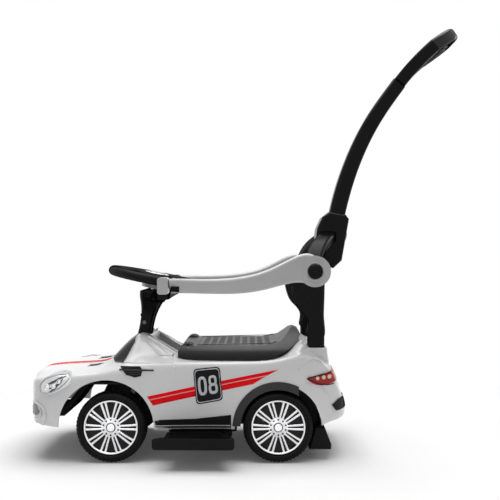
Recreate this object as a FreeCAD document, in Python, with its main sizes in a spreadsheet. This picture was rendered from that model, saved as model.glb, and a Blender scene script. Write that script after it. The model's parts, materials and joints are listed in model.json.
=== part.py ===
import FreeCAD, Part
import math
import os
import re
from types import SimpleNamespace

import Sketcher

Vector = FreeCAD.Vector
Rotation = FreeCAD.Rotation
Placement = FreeCAD.Placement

# A toddler's push car: front towards -X, left side at -Y, standing on Z = 0.

doc = FreeCAD.newDocument("push_car")
sheet = doc.addObject("Spreadsheet::Sheet", "sizes")

SIZES = [
    # clearances and cuts
    ("cut_overrun", 6),
    ("running_gap", 0.5),
    ("shaft_gap", 0.05),
    # places of the axles and reach of the body
    ("front_axle_reach", 274),
    ("wheelbase", 337),
    ("front_overhang", 178),
    ("rear_overhang", 143),
    ("body_half_width", 148),
    ("body_height", 250),
    ("body_wall", 3),
    # wheels
    ("tyre_radius", 71),
    ("tyre_width", 42),
    ("tyre_shoulder", 8),
    ("bead_radius", 57),
    ("wheel_offset", 125),
    ("axle_radius", 5),
    ("axle_end_inset", 14),
    ("disc_web", 5),
    ("disc_hub_radius", 14),
    ("hubcap_radius", 55),
    ("hubcap_thickness", 5),
    ("hubcap_rim_width", 5),
    ("hubcap_hub_radius", 21),
    ("hubcap_setback", 5),
    ("hubcap_bore_radius", 9),
    ("spoke_width", 5),
    ("spoke_gap", 6),
    ("spoke_pair_count", 10),
    ("centre_cap_radius", 12),
    ("centre_cap_height", 4),
    # wheel arches
    ("front_arch_radius", 96),
    ("front_arch_lead", 9.5),
    ("rear_arch_radius", 88),
    ("arch_trim_radius", 76),
    ("arch_trim_lap", 4),
    ("arch_trim_reach", 41),
    ("liner_wall", 2.5),
    ("well_inner_reach", 97),
    # chassis
    ("floor_height", 67),
    ("floor_thickness", 5),
    ("bulkhead_setback", 116),
    ("bulkhead_thickness", 4),
    ("front_deck_thickness", 4),
    ("front_deck_lead", 62),
    ("brace_half_width", 74),
    ("brace_thickness", 13),
    ("brace_foot_lead", 124),
    ("brace_foot_height", 79),
    ("nose_plate_length", 42),
    ("bearing_radius", 15),
    ("bearing_length", 26),
    ("axle_block_length", 30),
    ("axle_block_width", 14),
    ("axle_block_reach", 78),
    ("axle_block_drop", 14),
    ("bush_radius", 8.5),
    ("screw_radius", 2.5),
    ("screw_head_radius", 5),
    ("screw_head_height", 2.5),
    ("screw_reach", 60),
    # steering
    ("steering_lead", 15),
    ("steering_tilt", 11),
    ("steering_rod_radius", 7),
    ("steering_wheel_rise", 302),
    ("steering_rim_radius", 95),
    ("steering_tube_radius", 10.5),
    ("steering_hub_radius", 31),
    ("steering_hub_height", 22),
    ("steering_spoke_width", 26),
    ("steering_spoke_height", 10),
    ("steering_trim_height", 1.5),
    ("steering_trim_margin", 4),
    ("horn_radius", 17),
    ("horn_height", 11),
    ("horn_depth", 7),
    ("horn_travel", 2.5),
    ("collar_radius", 29),
    ("collar_height", 11),
    ("carrier_half_span", 100),
    ("carrier_length", 24),
    ("carrier_height", 26),
    ("carrier_boss_radius", 17),
    ("carrier_boss_height", 42),
    # front post and rail clips
    ("post_half_length", 15.5),
    ("post_half_width", 28),
    ("post_corner", 9),
    ("post_top_height", 343),
    ("arm_reach", 134),
    ("arm_half_height", 9),
    ("arm_corner", 6),
    ("arm_end_setback", 103),
    ("clip_length", 22),
    ("clip_thickness", 24),
    ("clip_corner", 5),
    ("clip_rim", 2.5),
    ("bolt_radius", 4),
    ("bolt_height", 288),
    # guard rails
    ("rail_height", 355),
    ("rail_half_height", 14.5),
    ("rail_half_width", 9.5),
    ("rail_corner", 7),
    ("rail_front_reach", 122),
    ("rail_bulge", 56),
    ("rail_front_gap", 1.2),
    ("pivot_setback", 71.5),
    ("pivot_height", 385.5),
    ("pivot_reach", 160),
    ("pivot_pin_radius", 6),
    ("rail_end_radius", 31),
    ("rail_end_half_width", 11.5),
    ("knob_radius", 14.5),
    ("knob_height", 9),
    ("button_length", 18),
    ("button_height", 11),
    ("button_drop", 6),
    ("button_depth", 6),
    ("button_proud", 2.5),
    ("button_travel", 2),
    # rear supports
    ("leg_setback", 79),
    ("leg_reach", 100),
    ("leg_half_length", 17),
    ("leg_half_width", 17),
    ("leg_corner", 8),
    ("leg_sink", 4),
    ("pod_reach", 131),
    ("pod_forward", 20),
    ("support_arm_half_length", 17),
    ("support_arm_half_height", 13),
    # handle housing and handle
    ("handle_setback", 135),
    ("handle_base_height", 509),
    ("handle_tilt", 10),
    ("housing_width", 64),
    ("housing_depth", 25.5),
    ("housing_bulge", 39.5),
    ("housing_drop", 120),
    ("housing_round", 7),
    ("stem_half_length", 17.5),
    ("stem_half_width", 18),
    ("stem_corner", 8),
    ("stem_plug", 92),
    ("handle_reach", 242.5),
    ("handle_rise", 383),
    ("loop_half_width", 60),
    ("loop_half_thickness", 14),
    ("grip_half_thickness", 14),
    ("lock_radius", 9),
    ("lock_proud", 3.5),
    ("lock_depth", 3.5),
    ("lock_travel", 2),
    ("lock_drop", 45),
    # seat and storage
    ("seat_half_width", 105),
    ("seat_rise", 29),
    ("seat_back_rise", 34),
    ("seat_wall", 4),
    ("seat_opening_half_width", 96),
    ("hinge_rise", 25.5),
    ("hinge_pin_radius", 2.5),
    ("lug_half_length", 6),
    ("lug_width", 8),
    ("lug_reach", 74),
    ("knuckle_width", 10),
    ("box_half_width", 86),
    ("box_wall", 2.5),
    ("box_sink", 5),
    # dash tray
    ("tray_half_width", 46),
    ("tray_sink", 4),
    ("tray_wall", 2.5),
    ("tray_proud", 1.5),
    # outside trim
    ("trim_proud", 1.5),
    ("glass_proud", 1.2),
    ("light_proud", 1.8),
    ("vent_inner_reach", 60),
    ("grille_half_width", 72),
    ("intake_half_width", 92),
    # footrests and anti-tip stop
    ("footrest_reach", 205),
    ("footrest_top_height", 64),
    ("footrest_thickness", 22),
    ("footrest_corner", 14),
    ("footrest_inner_reach", 142),
    ("footrest_tongue_reach", 64),
    ("footrest_tongue_thickness", 10),
    ("footrest_travel", 45),
    ("footrest_front_setback", 112),
    ("footrest_ear_lead", 25),
    ("footrest_ear_width", 14),
    ("footrest_length", 140),
    ("guide_width", 8),
    ("guide_lip", 6),
    ("guide_lip_thickness", 4),
    ("stop_half_width", 124),
    ("stop_front_setback", 75.5),
    ("stop_foot_setback", 63),
    ("stop_length", 20),
    ("stop_foot_height", 22),
    ("stop_foot_reach", 109),
    ("stop_foot_thickness", 10),
]

for row, (name, number) in enumerate(SIZES, 1):
    sheet.set(f"A{row}", name)
    sheet.set(f"B{row}", str(number))
    sheet.setAlias(f"B{row}", name)
doc.recompute()

NAMES = {name for name, number in SIZES}
v = SimpleNamespace(**{name: float(getattr(sheet, name)) for name in NAMES})
UP = Vector(0, 0, 1)
ALONG = Vector(1, 0, 0)
ACROSS = Vector(0, 1, 0)
ORIGIN = Vector(0, 0, 0)

# Places that several pieces share, worked out from the sheet.
front_x = -v.front_axle_reach
rear_x = front_x + v.wheelbase
pivot_x = rear_x + v.pivot_setback
leg_x = rear_x + v.leg_setback
handle_base = Vector(rear_x + v.handle_setback, 0, v.handle_base_height)
steering_foot = Vector(front_x + v.steering_lead, 0, v.tyre_radius)
steering_turn = Rotation(ACROSS, v.steering_tilt)
steering_axis = steering_turn.multVec(UP)
handle_turn = Rotation(ACROSS, v.handle_tilt)

# Heights of the body are shares of its own height, with its lower edge on the floor plate.
sill_share = 0.268
belt_share = 0.800
front_deck_share = 0.632


def level(share):
    """Height of a place on the body, from its share of the body's height."""
    return v.floor_height + (v.body_height - v.floor_height) * (share - sill_share) / (1 - sill_share)


belt = level(belt_share)
front_deck = level(front_deck_share)
seat_top = belt + v.seat_rise
seat_back_top = seat_top + v.seat_back_rise
hinge_z = belt + v.hinge_rise
leg_foot = belt - v.leg_sink
tray_floor = belt - v.tray_sink
belt_rise_share = round((belt_share - sill_share) / (1 - sill_share), 6)
belt_text = f"floor_height + (body_height - floor_height) * {belt_rise_share}"

nodes = []


def node(piece):
    """Count a finished object as a sub-part, under its own name."""
    piece.Label = piece.Name
    nodes.append(piece)
    return piece


def feature(name, shape):
    """A sub-part whose free form is worked out from the sheet's values."""
    piece = doc.addObject("Part::Feature", name)
    piece.Shape = shape
    return node(piece)


def in_sheet(text):
    """An expression with each size's name pointed at its cell."""
    return re.sub(
        r"[a-z][a-z_0-9]*",
        lambda word: "sizes." + word.group() if word.group() in NAMES else word.group(),
        text,
    )


def number_of(text):
    return float(sheet.evalExpression(in_sheet(text)))


def bind(piece, **properties):
    for name, text in properties.items():
        piece.setExpression(name, in_sheet(text))
    return piece


def place(piece, x="0", y="0", z="0"):
    for letter, text in zip("xyz", (x, y, z)):
        piece.setExpression("Placement.Base." + letter, in_sheet(text))
    return piece


def block(name, x, y, z):
    """A box between pairs of low and high limits."""
    piece = doc.addObject("Part::Box", name)
    spans = [f"({high}) - ({low})" for low, high in (x, y, z)]
    bind(piece, Length=spans[0], Width=spans[1], Height=spans[2])
    return place(piece, x[0], y[0], z[0])


def cross_rod(name, radius, y, x, z):
    """A round bar along Y between two limits."""
    piece = doc.addObject("Part::Cylinder", name)
    piece.Placement = Placement(ORIGIN, Rotation(ALONG, -90))
    bind(piece, Radius=radius, Height=f"({y[1]}) - ({y[0]})")
    return place(piece, x, y[0], z)


def steering_bar(name, radius, low, high):
    """A round bar on the steering axis, between two distances above the front axle."""
    piece = doc.addObject("Part::Cylinder", name)
    piece.Placement = Placement(ORIGIN, steering_turn)
    bind(piece, Radius=radius, Height=f"({high}) - ({low})")
    piece.setExpression("Placement.Rotation.Angle", in_sheet("steering_tilt"))
    return place(
        piece,
        f"-front_axle_reach + steering_lead + ({low}) * sin(steering_tilt)",
        "0",
        f"tyre_radius + ({low}) * cos(steering_tilt)",
    )


def fuse(name, *pieces):
    whole = doc.addObject("Part::MultiFuse", name)
    whole.Shapes = list(pieces)
    return whole


def cut(name, base, *tools):
    rest = doc.addObject("Part::Cut", name)
    rest.Base = base
    rest.Tool = tools[0] if len(tools) == 1 else fuse(name + "_tools", *tools)
    return rest


def plane(body, role):
    return [part for part in body.Origin.OriginFeatures if part.Role == role][0]


def sketch(body, name, role):
    drawing = body.newObject("Sketcher::SketchObject", name)
    drawing.AttachmentSupport = [(plane(body, role), "")]
    drawing.MapMode = "FlatFace"
    return drawing


def outline(drawing, corners):
    """A closed outline of straight lines with every corner bound to the sheet."""
    points = [Vector(number_of(x), number_of(y), 0) for x, y in corners]
    first = drawing.GeometryCount
    count = len(points)
    for i in range(count):
        drawing.addGeometry(Part.LineSegment(points[i], points[(i + 1) % count]), False)
    for i in range(count):
        following = first + (i + 1) % count
        drawing.addConstraint(Sketcher.Constraint("Coincident", first + i, 2, following, 1))
    for i, (texts, point) in enumerate(zip(corners, points)):
        pairs = (("DistanceX", texts[0], point.x), ("DistanceY", texts[1], point.y))
        for kind, text, number in pairs:
            limit = Sketcher.Constraint(kind, -1, 1, first + i, 1, number)
            place_in_list = drawing.addConstraint(limit)
            drawing.setExpression(f"Constraints[{place_in_list}]", in_sheet(text))


def rectangle(drawing, x, y):
    outline(drawing, [(x[0], y[0]), (x[1], y[0]), (x[1], y[1]), (x[0], y[1])])


def circle(drawing, radius, x="0"):
    """A circle on the sketch's own x axis, with its radius and place bound to the sheet."""
    centre = Vector(number_of(x), 0, 0)
    ring = drawing.addGeometry(Part.Circle(centre, UP, number_of(radius)), False)
    size = drawing.addConstraint(Sketcher.Constraint("Radius", ring, number_of(radius)))
    drawing.setExpression(f"Constraints[{size}]", in_sheet(radius))
    drawing.addConstraint(Sketcher.Constraint("PointOnObject", ring, 3, -1))
    if x == "0":
        drawing.addConstraint(Sketcher.Constraint("PointOnObject", ring, 3, -2))
        return
    reach = drawing.addConstraint(Sketcher.Constraint("DistanceX", -1, 1, ring, 3, centre.x))
    drawing.setExpression(f"Constraints[{reach}]", in_sheet(x))


def pad(body, name, drawing, length, both_ways=False, backwards=False):
    solid = body.newObject("PartDesign::Pad", name)
    solid.Profile = drawing
    solid.Midplane = both_ways
    solid.Reversed = backwards
    return bind(solid, Length=length)


def pocket(body, name, drawing, length, both_ways=False, backwards=False):
    hollow = body.newObject("PartDesign::Pocket", name)
    hollow.Profile = drawing
    hollow.Midplane = both_ways
    hollow.Reversed = backwards
    return bind(hollow, Length=length)


def turned(body, name, drawing):
    solid = body.newObject("PartDesign::Revolution", name)
    solid.Profile = drawing
    solid.ReferenceAxis = (drawing, ["V_Axis"])
    solid.Angle = 360
    return solid


def around(body, name, original, drawing, count):
    """Copies of a feature spread evenly round the sketch's normal."""
    ring = body.newObject("PartDesign::PolarPattern", name)
    ring.Originals = [original]
    ring.Axis = (drawing, ["N_Axis"])
    ring.Angle = 360
    bind(ring, Occurrences=count)
    body.Tip = ring
    return ring


def rounded(body, name, radius, chosen):
    """A fillet on those edges of the body's last feature that the test picks."""
    doc.recompute()
    last = body.Tip
    picked = [f"Edge{i}" for i, edge in enumerate(last.Shape.Edges, 1) if chosen(edge)]
    fillet = body.newObject("PartDesign::Fillet", name)
    fillet.Base = (last, picked)
    return bind(fillet, Radius=radius)


def both_sides(shape):
    """A left-hand shape and its mirror image on the right."""
    return Part.makeCompound([shape, shape.mirror(ORIGIN, ACROSS)])


def brick(x, y, z):
    low = Vector(x[0], y[0], z[0])
    return Part.makeBox(x[1] - x[0], y[1] - y[0], z[1] - z[0], low)


def bar(radius, start, end):
    return Part.makeCylinder(radius, start.distanceToPoint(end), start, end - start)


ring_corner_share = 0.98


def ring_wire(centre, across, up, half_across, half_up, corner):
    """A rounded rectangle about a centre, in the plane of two unit vectors."""
    corner = min(corner, half_across, half_up) * ring_corner_share
    straight_across = half_across - corner
    straight_up = half_up - corner
    edges = []
    ends = []
    for turn, (a, b) in enumerate(((1, 1), (-1, 1), (-1, -1), (1, -1))):
        middle = centre + across * (a * straight_across) + up * (b * straight_up)
        start = middle + (across * (a * corner) if turn % 2 == 0 else up * (b * corner))
        stop = middle + (up * (b * corner) if turn % 2 == 0 else across * (a * corner))
        bend = middle + (across * a + up * b) * (corner * math.sqrt(0.5))
        edges.append(Part.Arc(start, bend, stop).toShape())
        ends.append((start, stop))
    wires = []
    for i, edge in enumerate(edges):
        wires.append(edge)
        wires.append(Part.makeLine(ends[i][1], ends[(i + 1) % len(ends)][0]))
    return Part.Wire(wires)


def loft(wires):
    return Part.makeLoft(wires, True, False)


def prism(points, start, end):
    """A flat outline pushed from its own plane along Y or X between two limits."""
    wire = Part.makePolygon(points + points[:1])
    return push(wire, start, end)


def push(wire, start, end):
    face = Part.Face(wire)
    return face.translated(start).extrude(end - start)


# Body skin: a smooth net of control points from nose to tail.
# Places along it run 0 at the nose, 1 at the front axle, 2 at the rear axle, 3 at the tail.
# The columns give the half width, underside, shoulder, top and half width at the top.

BODY_SHARES = [
    (0.000, 0.400, 0.375, 0.570, 0.615, 0.280),
    (0.015, 0.545, 0.335, 0.610, 0.664, 0.390),
    (0.060, 0.710, 0.312, 0.645, 0.696, 0.480),
    (0.130, 0.855, 0.306, 0.668, 0.706, 0.550),
    (0.230, 0.945, 0.300, 0.686, 0.714, 0.600),
    (0.376, 0.990, 0.290, 0.704, 0.722, 0.630),
    (0.629, 1.000, 0.268, 0.718, 0.730, 0.640),
    (0.860, 1.000, 0.268, 0.732, 0.742, 0.640),
    (1.000, 1.000, 0.268, 0.756, 0.845, 0.630),
    (1.090, 0.995, 0.268, 0.780, 0.980, 0.610),
    (1.150, 0.987, 0.268, 0.794, 1.012, 0.600),
    (1.220, 0.985, 0.268, 0.802, 0.965, 0.620),
    (1.300, 0.972, 0.268, 0.806, 0.900, 0.660),
    (1.390, 0.953, 0.268, 0.806, 0.808, 0.715),
    (1.546, 0.946, 0.268, 0.806, 0.796, 0.745),
    (1.813, 0.953, 0.268, 0.806, 0.796, 0.745),
    (1.961, 0.973, 0.268, 0.820, 0.790, 0.745),
    (2.150, 0.987, 0.268, 0.850, 0.845, 0.757),
    (2.320, 0.980, 0.268, 0.870, 0.975, 0.777),
    (2.460, 0.966, 0.268, 0.852, 0.935, 0.777),
    (2.600, 0.940, 0.290, 0.822, 0.875, 0.750),
    (2.700, 0.912, 0.318, 0.776, 0.822, 0.725),
    (2.780, 0.875, 0.328, 0.700, 0.748, 0.690),
    (2.860, 0.800, 0.332, 0.596, 0.640, 0.620),
    (2.940, 0.690, 0.336, 0.500, 0.545, 0.540),
    (3.000, 0.480, 0.340, 0.400, 0.430, 0.400),
]

# Side of one section from the sill up: share of the half width, share of the shoulder's rise.
SIDE_SHARES = [(0.985, 0.0), (0.995, 0.25), (1.000, 0.62), (0.998, 0.90), (0.965, 1.0)]
# Top of one section: share of the way in from the shoulder to the middle, share of the top's rise.
roof_foot_share = 0.35
roof_foot_rise_share = 0.22
roof_middle_share = 0.5


def along(share):
    """X of a place along the body."""
    marks = [front_x - v.front_overhang, front_x, rear_x, rear_x + v.rear_overhang]
    span = min(max(int(share), 0), len(marks) - 2)
    return marks[span] + (share - span) * (marks[span + 1] - marks[span])


def body_section(row, inset, drop):
    """Control points of one section, right sill to left sill over the top."""
    place_share, width_share, under_share, shoulder_share, top_share, roof_share = row
    nose = along(0)
    tail = along(3)
    x = nose + inset + (along(place_share) - nose) * (tail - nose - 2 * inset) / (tail - nose)
    width = v.body_half_width * width_share - inset
    under = level(under_share) + inset - drop
    shoulder = level(shoulder_share) - inset
    top = level(top_share) - inset
    roof = v.body_half_width * roof_share - inset
    half = [(width * a, under + (shoulder - under) * b) for a, b in SIDE_SHARES]
    foot = roof + (width - roof) * roof_foot_share
    half.append((foot, shoulder + (top - shoulder) * roof_foot_rise_share))
    half.append((roof, top))
    half.append((roof * roof_middle_share, top))
    right = [Vector(x, y, z) for y, z in half]
    left = [Vector(x, -y, z) for y, z in reversed(half)]
    return right + [Vector(x, 0, top)] + left


def clamped(count):
    """Knots and their multiplicities for a cubic curve that reaches its end points."""
    knots = list(range(count - 2))
    repeats = [4] + [1] * (count - 4) + [4]
    return [float(knot) for knot in knots], repeats


skins = {}


def body_solid(inset=0.0, drop=0.0):
    """The filled body, drawn in by an inset or, below zero, grown."""
    if (inset, drop) in skins:
        return skins[inset, drop]
    rows = [body_section(row, inset, drop) for row in BODY_SHARES]
    row_knots, row_repeats = clamped(len(rows))
    knots, repeats = clamped(len(rows[0]))
    surface = Part.BSplineSurface()
    surface.buildFromPolesMultsKnots(
        rows, row_repeats, repeats, row_knots, knots, False, False, 3, 3
    )
    right = surface.vIso(knots[0]).toShape()
    left = surface.vIso(knots[-1]).toShape()
    faces = [surface.toShape(), Part.makeRuledSurface(right, left)]
    for knot, row in ((row_knots[0], rows[0]), (row_knots[-1], rows[-1])):
        edge = surface.uIso(knot).toShape()
        faces.append(Part.Face(Part.Wire([edge, Part.makeLine(row[-1], row[0])])))
    shell = Part.makeShell(faces)
    shell.sewShape()
    solid = Part.makeSolid(shell)
    if solid.Volume < 0:
        solid.reverse()
    skins[inset, drop] = solid
    return solid


def side_points(shares):
    """Points of a side outline from places along the body and shares of its height."""
    return [Vector(along(a), 0, level(b)) for a, b in shares]


def left_prism(shares, inner_reach):
    """A side outline pushed through the left skin."""
    outer = Vector(0, -v.body_half_width - v.cut_overrun, 0)
    return prism(side_points(shares), outer, Vector(0, -inner_reach, 0))


def left_curve_prism(shares, inner_reach):
    """A smooth closed side outline pushed through the left skin."""
    curve = Part.BSplineCurve()
    curve.interpolate(Points=side_points(shares), PeriodicFlag=True)
    outer = Vector(0, -v.body_half_width - v.cut_overrun, 0)
    return push(Part.Wire(curve.toShape()), outer, Vector(0, -inner_reach, 0))


def skin_panel(tool, proud):
    """A thin panel that lies on the body skin inside a tool's outline."""
    return body_solid(-proud).common(tool).cut(body_solid())


# Seat lid's side outline: a flat pan, then a back that climbs the rear deck.
# Each point is a place along the body and a height between the belt (0) and the seat top (1).
seat_front_share = 1.389
hinge_share = 1.445
seat_flat_end_share = 1.930
SEAT_UNDER_SHARES = [(1.930, 0.014), (2.000, 0.30), (2.187, 0.83), (2.290, 1.22), (2.350, 1.66)]
SEAT_BACK_SHARES = [
    (2.335, 0.78), (2.250, 1.00), (2.200, 0.86), (2.146, 0.60), (2.050, 0.24), (1.915, 0.0),
]
# Right half of the seat lid's cross outline: shares of its half width and of its whole height.
SEAT_CROSS_SHARES = [
    (1.00, 0.16), (0.965, 0.32), (0.870, 0.455), (0.740, 0.61), (0.550, 0.79), (0.300, 0.935), (0.0, 1.0),
]
seat_lip_share = 0.24
seat_nose_share = 0.72
seat_hollow_share = 0.84


def seat_side():
    """Corner points of the seat lid's side outline, in X and Z."""
    rise = v.seat_rise
    back = v.seat_back_rise
    front = along(seat_front_share)
    hinge = along(hinge_share)
    base = belt + v.running_gap
    points = [(hinge, base)]
    points += [(along(a), base + rise * b) for a, b in SEAT_UNDER_SHARES]
    points += [(along(a), seat_top + back * b) for a, b in SEAT_BACK_SHARES]
    points.append((front + rise * (1 - seat_nose_share), seat_top))
    points.append((front, belt + rise * seat_nose_share))
    points.append((front, belt + rise * seat_lip_share))
    return [Vector(x, 0, z) for x, z in points]


def seat_prism(half_width, gap):
    """The seat lid's filled outline, grown downwards by a gap."""
    reach = Vector(0, half_width, 0)
    drop = Vector(0, 0, gap)
    return prism([point - drop for point in seat_side()], ORIGIN - reach, reach)


def seat_arch():
    """A rounded bar over the whole car that gives the seat lid its soft sides."""
    rise = seat_back_top - belt
    right = [(v.seat_half_width * a, belt + rise * b) for a, b in SEAT_CROSS_SHARES]
    left = [(-y, z) for y, z in reversed(right[:-1])]
    points = [Vector(along(1), y, z) for y, z in right + left]
    curve = Part.BSplineCurve()
    curve.interpolate(points)
    low = [Vector(along(1), y, 0) for y in (-v.seat_half_width, v.seat_half_width)]
    sides = Part.makePolygon([points[-1], low[0], low[1], points[0]])
    wire = Part.Wire([curve.toShape()] + sides.Edges)
    return push(wire, ORIGIN, Vector(along(3) - along(1), 0, 0))


hinge_x = along(hinge_share)
lip_reach = hinge_x - along(seat_front_share)
lip_drop = v.hinge_rise - v.seat_rise * seat_lip_share
hinge_swing = math.hypot(lip_reach, lip_drop) + v.running_gap


def hinge_bar(radius, reach):
    centre = Vector(hinge_x, 0, hinge_z)
    return bar(radius, centre - ACROSS * reach, centre + ACROSS * reach)


# Body shell
opening_shares = (1.46, 1.93)
tray_shares = (1.215, 1.375)


def tray_brick(spread, floor):
    """A block in the place of the dash tray."""
    front, back = (along(share) for share in tray_shares)
    reach = v.tray_half_width + spread
    top = v.body_height * 2
    return brick((front - spread, back + spread), (-reach, reach), (floor, top))


def post_wire(height, half_length, half_width, gap=0.0):
    """A level section of the front post, on the steering axis."""
    x = steering_foot.x + (height - steering_foot.z) * math.tan(math.radians(v.steering_tilt))
    centre = Vector(x, 0, height)
    return ring_wire(centre, ALONG, ACROSS, half_length + gap, half_width + gap, v.post_corner + gap)


def post_hole():
    """The opening in the cowl round the front post."""
    sections = []
    for height in (front_deck, v.body_height + v.cut_overrun):
        sections.append(post_wire(height, v.post_half_length, v.post_half_width, v.running_gap))
    return loft(sections)


def leg_wire(x, y, z, half_length, half_width, gap=0.0):
    centre = Vector(x, y, z)
    return ring_wire(centre, ALONG, ACROSS, half_length + gap, half_width + gap, v.leg_corner + gap)


def leg_hole():
    """The socket of the left rear leg through the deck."""
    sections = []
    for height in (leg_foot - v.cut_overrun, v.body_height + v.cut_overrun):
        wire = leg_wire(leg_x, -v.leg_reach, height, v.leg_half_length, v.leg_half_width, v.running_gap)
        sections.append(wire)
    return loft(sections)


def hinge_lug():
    """A left-hand lug of the seat hinge, with a foot under the body's skin."""
    low = belt - v.body_wall
    edge = (-v.lug_reach - v.lug_width / 2, -v.lug_reach + v.lug_width / 2)
    span = (hinge_x - v.lug_half_length, hinge_x + v.lug_half_length)
    stem = brick(span, edge, (low, hinge_z))
    foot = brick((hinge_x - lip_reach, span[1]), edge, (low - v.body_wall, low))
    centre = Vector(hinge_x, edge[0], hinge_z)
    head = bar(v.lug_half_length, centre, centre + ACROSS * v.lug_width)
    return stem.fuse([foot, head]).cut(hinge_bar(v.hinge_pin_radius, v.body_half_width))


def body_shell():
    skin = body_solid().cut(body_solid(v.body_wall, v.cut_overrun))
    side = ACROSS * (v.body_half_width + v.cut_overrun)
    cuts = []
    front_arch_x = front_x - v.front_arch_lead
    for x, radius in ((front_arch_x, v.front_arch_radius), (rear_x, v.rear_arch_radius)):
        centre = Vector(x, 0, v.tyre_radius)
        cuts.append(bar(radius, centre - side, centre + side))
    half = v.seat_opening_half_width
    opening = [along(share) for share in opening_shares]
    cuts.append(brick(opening, (-half, half), (belt - v.box_sink, v.body_height)))
    cuts.append(seat_prism(v.seat_half_width + v.running_gap, v.running_gap))
    cuts.append(hinge_bar(hinge_swing, v.seat_half_width + v.running_gap))
    cuts.append(tray_brick(v.running_gap, tray_floor - v.running_gap))
    cuts.append(post_hole())
    cuts.append(both_sides(leg_hole()))
    skin = skin.cut(cuts)
    lug = hinge_lug()
    return skin.fuse([lug, lug.mirror(ORIGIN, ACROSS)])


feature("body_shell", body_shell())


# Chassis pan: floor, bulkhead, front deck, steering bearing, brace and wheel wells
def wheel_well():
    """Lining of the left rear wheel arch: a half tube closed on the inside."""
    outer = v.rear_arch_radius - v.running_gap
    start = Vector(rear_x, -v.body_half_width, v.tyre_radius)
    end = Vector(rear_x, -v.well_inner_reach + v.liner_wall, v.tyre_radius)
    hollow_end = Vector(rear_x, -v.well_inner_reach, v.tyre_radius)
    tube = bar(outer, start, end).cut(bar(outer - v.liner_wall, start, hollow_end))
    span = (rear_x - outer, rear_x + outer)
    upper = brick(span, (start.y, end.y), (v.tyre_radius, v.tyre_radius + outer))
    return tube.common(upper)


def floor_plate():
    width = v.body_half_width
    front = front_x + v.bulkhead_setback
    plate = brick((front, along(3)), (-width, width), (v.floor_height, v.floor_height + v.floor_thickness))
    wheel_span = (rear_x - v.rear_arch_radius, rear_x + v.rear_arch_radius)
    height = (v.floor_height - v.cut_overrun, v.floor_height + v.rear_arch_radius)
    wheel = brick(wheel_span, (-width, -v.well_inner_reach + v.liner_wall), height)
    return plate.cut(both_sides(wheel))


def nose_brace():
    """The slanted strut from the front deck down to the bumper."""
    half = v.brace_half_width
    top_x = front_x - v.front_deck_lead
    foot_x = front_x - v.brace_foot_lead
    slant = v.brace_thickness
    deck = front_deck
    corners = [
        (top_x, deck), (top_x + slant, deck), (foot_x + slant, v.brace_foot_height),
        (foot_x - v.nose_plate_length, v.brace_foot_height),
        (foot_x - v.nose_plate_length, v.brace_foot_height + v.floor_thickness),
        (foot_x, v.brace_foot_height + v.floor_thickness),
    ]
    points = [Vector(x, 0, z) for x, z in corners]
    return prism(points, ACROSS * -half, ACROSS * half)


def axle_block():
    """The left bearing block of the rear axle, under the floor."""
    half = v.axle_block_length / 2
    low = v.tyre_radius - v.axle_block_drop
    side = (-v.axle_block_reach - v.axle_block_width, -v.axle_block_reach)
    block_shape = brick((rear_x - half, rear_x + half), side, (low, v.floor_height))
    rise = brick((rear_x - half, rear_x + half), side, (v.floor_height, v.tyre_radius + v.axle_block_drop))
    return block_shape.fuse(rise)


def footrest_guides():
    """The two left-hand runners that hold a footrest's tongue under the floor."""
    front = front_x + v.footrest_front_setback
    back = front + v.footrest_length
    inner = -v.footrest_tongue_reach + v.footrest_travel
    side = (-v.footrest_inner_reach + v.footrest_travel, inner)
    gap = v.running_gap
    tongue_low = v.floor_height - gap - v.footrest_tongue_thickness
    lip = (tongue_low - gap - v.guide_lip_thickness, tongue_low - gap)
    runners = []
    for inside, way in ((front, 1), (back, -1)):
        edge = inside + way * (v.guide_width - gap)
        outside = edge - way * v.guide_width
        wall = brick(sorted((edge, outside)), side, (lip[0], v.floor_height))
        shelf = brick(sorted((edge, edge + way * v.guide_lip)), side, lip)
        runners.append(wall.fuse(shelf))
    return runners[0].fuse(runners[1])


screw_shares = (1.44, 1.80, 2.40)


def screw_places():
    """Feet of the body screws, left and right, under the floor."""
    spots = [along(share) for share in screw_shares]
    return [Vector(x, side * v.screw_reach, v.floor_height) for x in spots for side in (-1, 1)]


def chassis_pan():
    width = v.body_half_width
    wall_x = front_x + v.bulkhead_setback
    deck_top = front_deck + v.front_deck_thickness
    bulkhead = brick((wall_x, wall_x + v.bulkhead_thickness), (-width, width), (v.floor_height, deck_top))
    deck = brick((front_x - v.front_deck_lead, wall_x), (-width, width), (front_deck, deck_top))
    slope = math.cos(math.radians(v.steering_tilt))
    level = (deck_top - v.tyre_radius) / slope
    sleeve_top = steering_foot + steering_axis * level
    sleeve = bar(v.bearing_radius, sleeve_top - steering_axis * v.bearing_length, sleeve_top)
    flat = brick((front_x - width, front_x + width), (-width, width), (0, deck_top))
    pan = floor_plate().fuse([bulkhead, deck, sleeve.common(flat), nose_brace()])
    pan = pan.fuse(both_sides(wheel_well()).Solids)
    inside = body_solid(v.body_wall + v.running_gap, v.cut_overrun)
    pan = pan.common(inside)
    outside = [shape for piece in (axle_block(), footrest_guides()) for shape in both_sides(piece).Solids]
    pan = pan.fuse(outside)
    far = v.wheelbase
    holes = [bar(v.steering_rod_radius + v.shaft_gap, steering_foot, steering_foot + steering_axis * far)]
    axle = Vector(rear_x, 0, v.tyre_radius)
    holes.append(bar(v.bush_radius, axle - ACROSS * width, axle + ACROSS * width))
    for spot in screw_places():
        holes.append(bar(v.screw_radius, spot - UP * v.cut_overrun, spot + UP * front_deck / 2))
    return pan.cut(holes).removeSplitter()


feature("chassis_pan", chassis_pan())


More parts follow.
